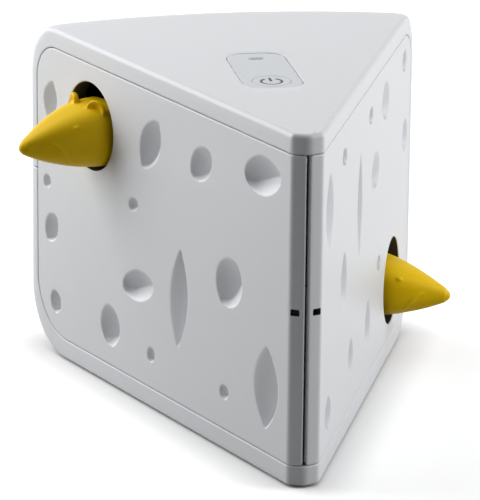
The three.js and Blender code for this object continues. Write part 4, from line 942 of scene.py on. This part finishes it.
cell_wrap = moulded("cell_wrap", 0x3A3F47, 0.35, 0.05, 600, 0.05, 0.4)
brass = moulded("brass", 0xC3A354, 0.32, 0.06, 1500, 0.05, metal=1)
steel = moulded("steel", 0xB9BDC2, 0.28, 0.06, 1500, 0.05, metal=1)
lead_red = moulded("lead_red", 0xB02A2A, 0.5, 0.1, 900, 0.04)
lead_black = moulded("lead_black", 0x26282B, 0.55, 0.1, 900, 0.04)

# Each other piece takes the finish of the first word here that its name holds
WORD_FINISH = [
    ("screw", steel), ("battery_door", shell_white), ("board", board_green), ("key_switch", symbol_grey),
    ("emitter", lens_clear), ("chip", symbol_grey), ("socket", gear_white), ("deck", inner_grey),
    ("battery_box", inner_grey), ("lead_red", lead_red), ("lead_black", lead_black), ("cell", cell_wrap),
    ("foot", black_rubber), ("bush", brass), ("pinion", brass), ("gear", gear_white),
    ("arm", mouse_yellow), ("mouse_head", mouse_yellow), ("shell", shell_white), ("panel", shell_white),
]
for name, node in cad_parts.items():
    finish = next((finish for word, finish in WORD_FINISH if word in name), steel)
    node.data.materials.clear()
    node.data.materials.append(finish)

# Housing pieces
for upper, node in ((True, "upper_shell"), (False, "lower_shell")):
    piece = shell(upper, housing_white_inner_shade)
    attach(piece, "housing")
    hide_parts(node)
for side_name in ("left", "right"):
    piece, collar = panel(side_name, housing_white_inner_shade)
    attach(piece, "housing")
    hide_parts(side_name + "_panel")
    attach(collar, "housing")

# Mouse heads
HEAD_LENGTH = 48.5
HEAD_HALF_WIDTH = 16.8
HEAD_HALF_HEIGHT = 15.3
HEAD_WALL = 2
HEAD_TILT = math.radians(6)
HEAD_INSET = 8
PIVOT_INSET = 22
ARM_REACH = 85
NOSE_RADIUS = 3.1
EAR_RADIUS = 5
EAR_THICKNESS = 3
EAR_SPREAD = 8.5
EAR_SETBACK = 12
EAR_LIFT = 13
EAR_TILT = math.radians(24)
EYE_RADIUS = 1.5
EYE_STRETCH = (1.3, 0.8, 0.8)
EYE_SHARE, EYE_DEGREES, EYE_SINK = 0.5, 34, 0.5
CHEEK_RADIUS = 1.2
CHEEK_STEPS = 26
CHEEK_START_SHARE, CHEEK_RUN_SHARE = 0.74, 0.17
CHEEK_DEGREES, CHEEK_TURN, CHEEK_BEND = 12, 50, 1.3
CHEEK_SINK = 0.35
RIM_ROUND, RIM_ROUND_SHARE = 0.5, 0.02
HOLLOW_SHARE = 0.72
HEAD_VOXEL = 0.42
TOP_POWER, TOP_POWER_FALL, BOTTOM_POWER = 3.3, 0.6, 2.3
RELAX_STEPS = 5

# Share of the length, then width and height as shares, and how far the middle drops
HEAD_STATIONS = np.array([
    [0, 1, 1, 0], [0.1, 1, 1, 0.01], [0.25, 0.96, 0.955, 0.02], [0.42, 0.86, 0.86, 0.045],
    [0.6, 0.68, 0.69, 0.08], [0.76, 0.47, 0.5, 0.12], [0.89, 0.28, 0.31, 0.15], [0.955, 0.19, 0.21, 0.16],
])


def smooth_stations(along):
    """Station values at any place along the head, on a curve through the table."""
    x, table = HEAD_STATIONS[:, 0], HEAD_STATIONS[:, 1:]
    slope = np.gradient(table, x, axis=0)
    i = np.clip(np.searchsorted(x, along) - 1, 0, len(x) - 2)
    h = x[i + 1] - x[i]
    t = (along - x[i]) / h
    return (
        (2 * t ** 3 - 3 * t ** 2 + 1) * table[i] + (t ** 3 - 2 * t ** 2 + t) * h * slope[i]
        + (-2 * t ** 3 + 3 * t ** 2) * table[i + 1] + (t ** 3 - t ** 2) * h * slope[i + 1]
    )


def head_ring(along, shrink, count=72):
    wide, tall, drop = smooth_stations(along)
    angles = around(count)
    c, s = np.cos(angles), np.sin(angles)
    power = np.where(s > 0, TOP_POWER - TOP_POWER_FALL * along, BOTTOM_POWER)
    swell = (np.abs(c) ** power + np.abs(s) ** power) ** (-1 / power)
    y = max(HEAD_HALF_WIDTH * wide - shrink, 0.1) * c * swell
    z = max(HEAD_HALF_HEIGHT * tall - shrink, 0.1) * s * swell - HEAD_HALF_HEIGHT * drop
    return np.stack([np.full(count, HEAD_LENGTH * along), y, z], -1)


def ball(radius, centre, stretch=(1, 1, 1), count=24):
    angles = around(count)
    rows = []
    for polar in np.linspace(0, math.pi, count // 2 + 1):
        out = math.sin(polar)
        ring = np.stack([np.full(count, -math.cos(polar)), out * np.cos(angles), out * np.sin(angles)], -1)
        rows.append(ring * radius * np.array(stretch) + np.array(centre))
    return rows


def closed_rows(rows):
    """Verts and faces of a surface through rings, closed at both ends with a fan."""
    count = len(rows[0])
    points = np.concatenate(rows + [rows[0].mean(0, keepdims=True), rows[-1].mean(0, keepdims=True)])
    faces = quads(len(rows), count, True)
    low, high, last = len(points) - 2, len(points) - 1, (len(rows) - 1) * count
    faces += [(low, (i + 1) % count, i) for i in range(count)]
    faces += [(high, last + i, last + (i + 1) % count) for i in range(count)]
    return points, faces


def ear_rows(way, count=40):
    """Rings of a dished ear, from the middle of its back round the rim to the middle of the dish."""
    profile = [
        (0.02, -0.5), (0.5, -0.5), (0.8, -0.46), (0.93, -0.3), (1.0, 0.0), (0.99, 0.28), (0.94, 0.44),
        (0.86, 0.48), (0.78, 0.36), (0.62, 0.12), (0.4, -0.04), (0.2, -0.1), (0.02, -0.12),
    ]
    rows = []
    for share, level in profile:
        y, z = circle_loop(0, EAR_LIFT, share * EAR_RADIUS, count).T
        x, y = rotated(np.full(count, level * EAR_THICKNESS), y, way * EAR_TILT)
        rows.append(np.stack([x + EAR_SETBACK, y + way * EAR_SPREAD, z], -1))
    return rows


def head_to_frame(points, side):
    """From head space, nose along +X and ears up, to where the head rests."""
    nod_x, z = rotated(points[:, 0], points[:, 2], -side["pitch"])
    x, y = rotated(nod_x, points[:, 1], -HALF_ANGLE - HEAD_TILT)
    pivot_along = side["hole"] - ARM_REACH
    pivot_x = SIN * pivot_along - COS * PIVOT_INSET
    pivot_y = COS * pivot_along + SIN * PIVOT_INSET
    x = x + SIN * side["hole"] - COS * HEAD_INSET - pivot_x
    y = y + COS * side["hole"] + SIN * HEAD_INSET - pivot_y
    x, y = rotated(x, y, side["rest"])
    return np.stack([(pivot_x + x) * side["sign"], pivot_y + y, z + side["level"] - side["drop"]], -1)


def on_head(along, degrees, way, sink):
    """A point of the head's surface, by the angle above its middle height on one of its sides."""
    ring = head_ring(along, sink, 360)
    middle = ring.mean(0)
    angles = np.degrees(np.arctan2(ring[:, 2] - middle[2], way * (ring[:, 1] - middle[1])))
    return ring[np.abs(angles - degrees).argmin()]


def mouse_head(side_name):
    side = SIDES[side_name]
    last = HEAD_STATIONS[-1, 0]
    shares = np.concatenate([[0, 0.4 * RIM_ROUND_SHARE, RIM_ROUND_SHARE], np.linspace(0.04, last, 46)])
    outer = [head_ring(a, RIM_ROUND * (1 - min(a / RIM_ROUND_SHARE, 1)) ** 2) for a in shares]
    inner = [head_ring(a, HEAD_WALL) for a in np.linspace(HOLLOW_SHARE, 0, 24)]
    nose = (HEAD_LENGTH - NOSE_RADIUS, 0, -HEAD_HALF_HEIGHT * HEAD_STATIONS[-1, 3])
    forms = [inner + outer, ear_rows(-1), ear_rows(1), ball(NOSE_RADIUS, nose, (1, 0.95, 0.95))]
    for way in (-1, 1):
        eye = on_head(EYE_SHARE, EYE_DEGREES, way, EYE_SINK)
        forms.append(ball(EYE_RADIUS, eye, EYE_STRETCH, 16))
        for share in np.linspace(0, 1, CHEEK_STEPS + 1):
            degrees = CHEEK_DEGREES - CHEEK_TURN * share ** CHEEK_BEND
            place = on_head(CHEEK_START_SHARE - CHEEK_RUN_SHARE * share, degrees, way, CHEEK_SINK)
            forms.append(ball(CHEEK_RADIUS * (1 - 0.4 * abs(2 * share - 1)), place, count=12))
    work = Skin()
    for form in forms:
        points, faces = closed_rows(form)
        work.add(head_to_frame(points, side), [face[::side["sign"]] for face in faces])
    piece = work.build(side_name + "_mouse", mouse_yellow, 180, 0.0005)
    remesh = piece.modifiers.new("even", "REMESH")
    remesh.mode = "VOXEL"
    remesh.voxel_size = HEAD_VOXEL * MM
    remesh.use_smooth_shade = True
    relax = piece.modifiers.new("relax", "SMOOTH")
    relax.factor = 0.5
    relax.iterations = RELAX_STEPS
    return applied(piece)


def applied(piece):
    """The piece with its modifiers baked into its mesh."""
    bpy.context.view_layer.update()
    graph = bpy.context.evaluated_depsgraph_get()
    mesh = bpy.data.meshes.new_from_object(piece.evaluated_get(graph))
    old = piece.data
    piece.modifiers.clear()
    piece.data = mesh
    mesh.name = piece.name
    bpy.data.meshes.remove(old)
    return piece


for side_name in ("left", "right"):
    piece = mouse_head(side_name)
    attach(piece, side_name + "_mouse")
    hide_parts(side_name + "_mouse_head")


# Controls on the roof
def plate(name, loop_at, holes, top, thickness, rounding, material, dish=None):
    """A flat plate with rounded upper edges, holes through it and an optional dished top."""
    rows = [rounding * share for share in PLATE_ROW_SHARES]
    loops = [loop_at(-d) for d in rows]
    for hole_at in holes:
        loops += [hole_at(d) for d in rows]
    rim = loop_at(0)
    (x0, y0), (x1, y1) = rim.min(0), rim.max(0)
    grid = hex_grid(x0, x1, y0, y1, PLATE_STEP)
    loose = far_from(grid[inside_mask(grid, rim)], loops, PLATE_STEP / 2)
    plain = [hole_at(0) for hole_at in holes]
    flat, tris = patch(loops, [], loose, between(rim, plain))
    level = np.full(len(flat), float(top))
    for at, sign in [(loop_at, -1)] + [(hole_at, 1) for hole_at in holes]:
        for d in rows:
            level[nearest(flat, at(sign * d)) < FINE] = top + edge_drop(d, rounding)
    if dish is not None:
        level = level + dish(*flat.T)
    skin = Skin()
    skin.add(np.column_stack([flat, level]), tris)
    for loop in [rim] + [loop[::-1] for loop in plain]:
        skin.strip([flat_loop(loop, z) for z in (top - thickness, top - rounding)], True)
    return skin.build(name, material, 60)


def button_loop(d):
    return circle_loop(0, BUTTON_CENTRE, BUTTON_RADIUS + d, 80)


def grown(loop_at, grow):
    return lambda d: loop_at(d + grow)


light_loop = rectangle_loop(
    0, LIGHT_CENTRE, LIGHT_LENGTH, LIGHT_WIDTH, LIGHT_WIDTH / 2 * LENS_CORNER_SHARE, LIGHT_STEP,
)
pad_top = BODY_HEIGHT - PAD_SINK
pad = plate(
    "soft_pad", rectangle_loop(0, PAD_CENTRE, PAD_WIDTH, PAD_LENGTH, PAD_CORNER),
    [grown(button_loop, BUTTON_GAP), grown(light_loop, LIGHT_GAP)], pad_top, PAD_DEPTH, PAD_ROUND, pad_grey,
)
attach(pad, "housing")
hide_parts("control_pad")


def button_dish(x, y):
    away = np.hypot(x, y - BUTTON_CENTRE) / BUTTON_RADIUS
    return -BUTTON_DISH * np.clip(1 - (away / BUTTON_DISH_SHARE) ** 2, 0, 1) ** BUTTON_DISH_POWER


button = plate("round_key", button_loop, [], pad_top, BUTTON_HEIGHT, BUTTON_ROUND, pad_grey, button_dish)
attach(button, "power_key")
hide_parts("power_button")


def symbol_strip(name, centre_line):
    """A thin raised mark that follows the key's dished top."""
    line = np.array(centre_line)
    tangent = np.gradient(line, axis=0)
    tangent /= np.hypot(*tangent.T)[:, None]
    side = np.stack([-tangent[:, 1], tangent[:, 0]], -1)
    skin = Skin()
    half = [(0.5, -SYMBOL_SINK), (0.5, SYMBOL_PROUD * 0.4), (0.4, SYMBOL_PROUD), (0, SYMBOL_PROUD)]
    rows = []
    for share, lift in half + [(-share, lift) for share, lift in half[-2::-1]]:
        place = line + side * share * SYMBOL_WIDTH
        rows.append(np.column_stack([place, pad_top + button_dish(*place.T) + lift]))
    skin.strip(rows[::-1], False)
    return skin.build(name, symbol_grey, 60)


arc_angles = np.linspace(SYMBOL_GAP / 2, 2 * math.pi - SYMBOL_GAP / 2, 72) + math.pi / 2
arc_line = [(SYMBOL_RADIUS * math.cos(a), BUTTON_CENTRE + SYMBOL_RADIUS * math.sin(a)) for a in arc_angles]
bar_line = [(0, BUTTON_CENTRE + SYMBOL_RADIUS * t) for t in np.linspace(*SYMBOL_BAR_SHARES, 12)]
for name, line in (("key_symbol_ring", arc_line), ("key_symbol_bar", bar_line)):
    mark = symbol_strip(name, line)
    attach(mark, "power_key")


def lens_dome(x, y):
    half = LIGHT_WIDTH / 2
    away = rounded_distance(x, y - LIGHT_CENTRE, -LIGHT_LENGTH / 2, LIGHT_LENGTH / 2, -half, half, half)
    return LENS_DOME * np.clip(-away / half, 0, 1)


lens = plate(
    "light_lens", light_loop, [], pad_top - LENS_SINK, LENS_HEIGHT, LENS_ROUND, lens_clear, lens_dome,
)
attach(lens, "housing")
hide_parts("status_light")

# Camera at the photograph's angle
CAMERA_PLACE = (-320.6, -1609.9, 634.9)
CAMERA_YAW = math.radians(10.157)
CAMERA_PITCH = math.radians(17.641)
CAMERA_ROLL = math.radians(0.579)
FOCAL_PIXELS = 4043.6
LONG_SIDE = 500
SENSOR = 36
CLIP_NEAR, CLIP_FAR = 0.05, 30

camera = linked("camera", bpy.data.cameras.new("camera"))
forward = np.array([
    math.sin(CAMERA_YAW) * math.cos(CAMERA_PITCH), math.cos(CAMERA_YAW) * math.cos(CAMERA_PITCH),
    -math.sin(CAMERA_PITCH),
])
level_right = np.array([math.cos(CAMERA_YAW), -math.sin(CAMERA_YAW), 0])
level_up = np.cross(level_right, forward)
right = math.cos(CAMERA_ROLL) * level_right + math.sin(CAMERA_ROLL) * level_up
up = -math.sin(CAMERA_ROLL) * level_right + math.cos(CAMERA_ROLL) * level_up
camera.matrix_world = Matrix([
    [right[i], up[i], -forward[i], (CAMERA_PLACE[i] + ORIGIN[i]) * MM] for i in range(3)
] + [[0, 0, 0, 1]])
camera.data.sensor_width = SENSOR
camera.data.lens = FOCAL_PIXELS * SENSOR / LONG_SIDE
camera.data.clip_start = CLIP_NEAR
camera.data.clip_end = CLIP_FAR
bpy.context.scene.camera = camera
bpy.context.scene.view_settings.view_transform = "Standard"


# Floor, lamps and world
FLOOR_SIZE = 12
FLOOR_GREY, HIDDEN_GREY = 0.8, 0.25
GLOW_NEAR, GLOW_FAR = 0.15, 1.1
GLOW_LOW = 0.5
# Reach and power of the painted contact shadow on the floor's glow
CONTACT_SHADOW_REACH = 0.022
CONTACT_SHADOW_POWER = 2
FILL_STRENGTH = 0.1
WHITE = (1, 1, 1, 1)


def combined(tree, operation, first, second=None):
    node = add_node(tree, "Math")
    node.operation = operation
    link(tree, (first, node.inputs[0]))
    if second is not None:
        link(tree, (second, node.inputs[1]))
    return node


def finish_tree(tree, kind, hidden, shown):
    """One shader for rays that show the background, from the camera, in reflections and through clear
    pieces, and another for the rest."""
    path = add_node(tree, "LightPath").outputs
    seen = combined(tree, "MAXIMUM", path["Is Camera Ray"], path["Is Glossy Ray"]).outputs[0]
    seen = combined(tree, "MAXIMUM", seen, path["Is Transmission Ray"]).outputs[0]
    choice = add_node(tree, "MixShader")
    output = add_node(tree, "Output" + kind)
    link(
        tree, (seen, choice.inputs["Fac"]), (hidden.outputs[0], choice.inputs[1]),
        (shown.outputs[0], choice.inputs[2]), (choice.outputs[0], output.inputs["Surface"]),
    )


floor_mesh = bpy.data.meshes.new("floor")
corners = [(x * FLOOR_SIZE / 2, y * FLOOR_SIZE / 2, 0) for x, y in ((-1, -1), (1, -1), (1, 1), (-1, 1))]
floor_mesh.from_pydata(corners, [], [(0, 1, 2, 3)])
floor = linked("floor", floor_mesh)
floor_material = bpy.data.materials.new("floor_white")
floor_material.use_nodes = True
tree = floor_material.node_tree
tree.nodes.clear()
plain, dim = (add_node(tree, "BsdfDiffuse", Color=(grey,) * 3 + (1,)) for grey in (FLOOR_GREY, HIDDEN_GREY))
away = add_node(tree, "VectorMath")
away.operation = "LENGTH"
fade = add_node(tree, "MapRange", From_Min=GLOW_NEAR, From_Max=GLOW_FAR, To_Min=GLOW_LOW, To_Max=1)
# Painted contact shadow: ambient occlusion dims the floor's glow next to the object
open_share = add_node(tree, "AmbientOcclusion", Distance=CONTACT_SHADOW_REACH)
open_share.samples = 16
painted_contact_shadow = combined(tree, "POWER", open_share.outputs["AO"])
painted_contact_shadow.inputs[1].default_value = CONTACT_SHADOW_POWER
shaded = combined(tree, "MULTIPLY", fade.outputs["Result"], painted_contact_shadow.outputs[0])
glow = add_node(tree, "Emission", Color=WHITE)
both = add_node(tree, "AddShader")
link(
    tree, (add_node(tree, "TexCoord").outputs["Object"], away.inputs[0]),
    (away.outputs["Value"], fade.inputs["Value"]), (shaded.outputs[0], glow.inputs["Strength"]),
    (plain.outputs[0], both.inputs[0]), (glow.outputs[0], both.inputs[1]),
)
finish_tree(tree, "Material", dim, both)
floor_mesh.materials.append(floor_material)

world = bpy.data.worlds.new("world")
bpy.context.scene.world = world
world.use_nodes = True
tree = world.node_tree
tree.nodes.clear()
white_back = add_node(tree, "Background", Color=WHITE, Strength=1)
soft_fill = add_node(tree, "Background", Color=(0.97, 0.98, 1, 1), Strength=FILL_STRENGTH)
finish_tree(tree, "World", soft_fill, white_back)

# Name, place, height of the aim, size, power
LAMPS = [
    ("left_box", (-0.85, 0.62, 0.6), 0.08, 1.2, 17),
    ("right_box", (1.46, -0.22, 0.7), 0.08, 1.0, 18.5),
    ("top_box", (0.0, 0.1, 1.6), 0.1, 1.2, 2.5),
]
for name, place, aim, size, power in LAMPS:
    lamp = bpy.data.lights.new(name, "AREA")
    lamp.shape = "RECTANGLE"
    lamp.size = lamp.size_y = size
    lamp.energy = power
    holder = linked(name, lamp)
    holder.location = place
    holder.rotation_mode = "QUATERNION"
    holder.rotation_quaternion = (Vector((0, 0, aim)) - Vector(place)).to_track_quat("-Z", "Y")

bpy.context.view_layer.update()
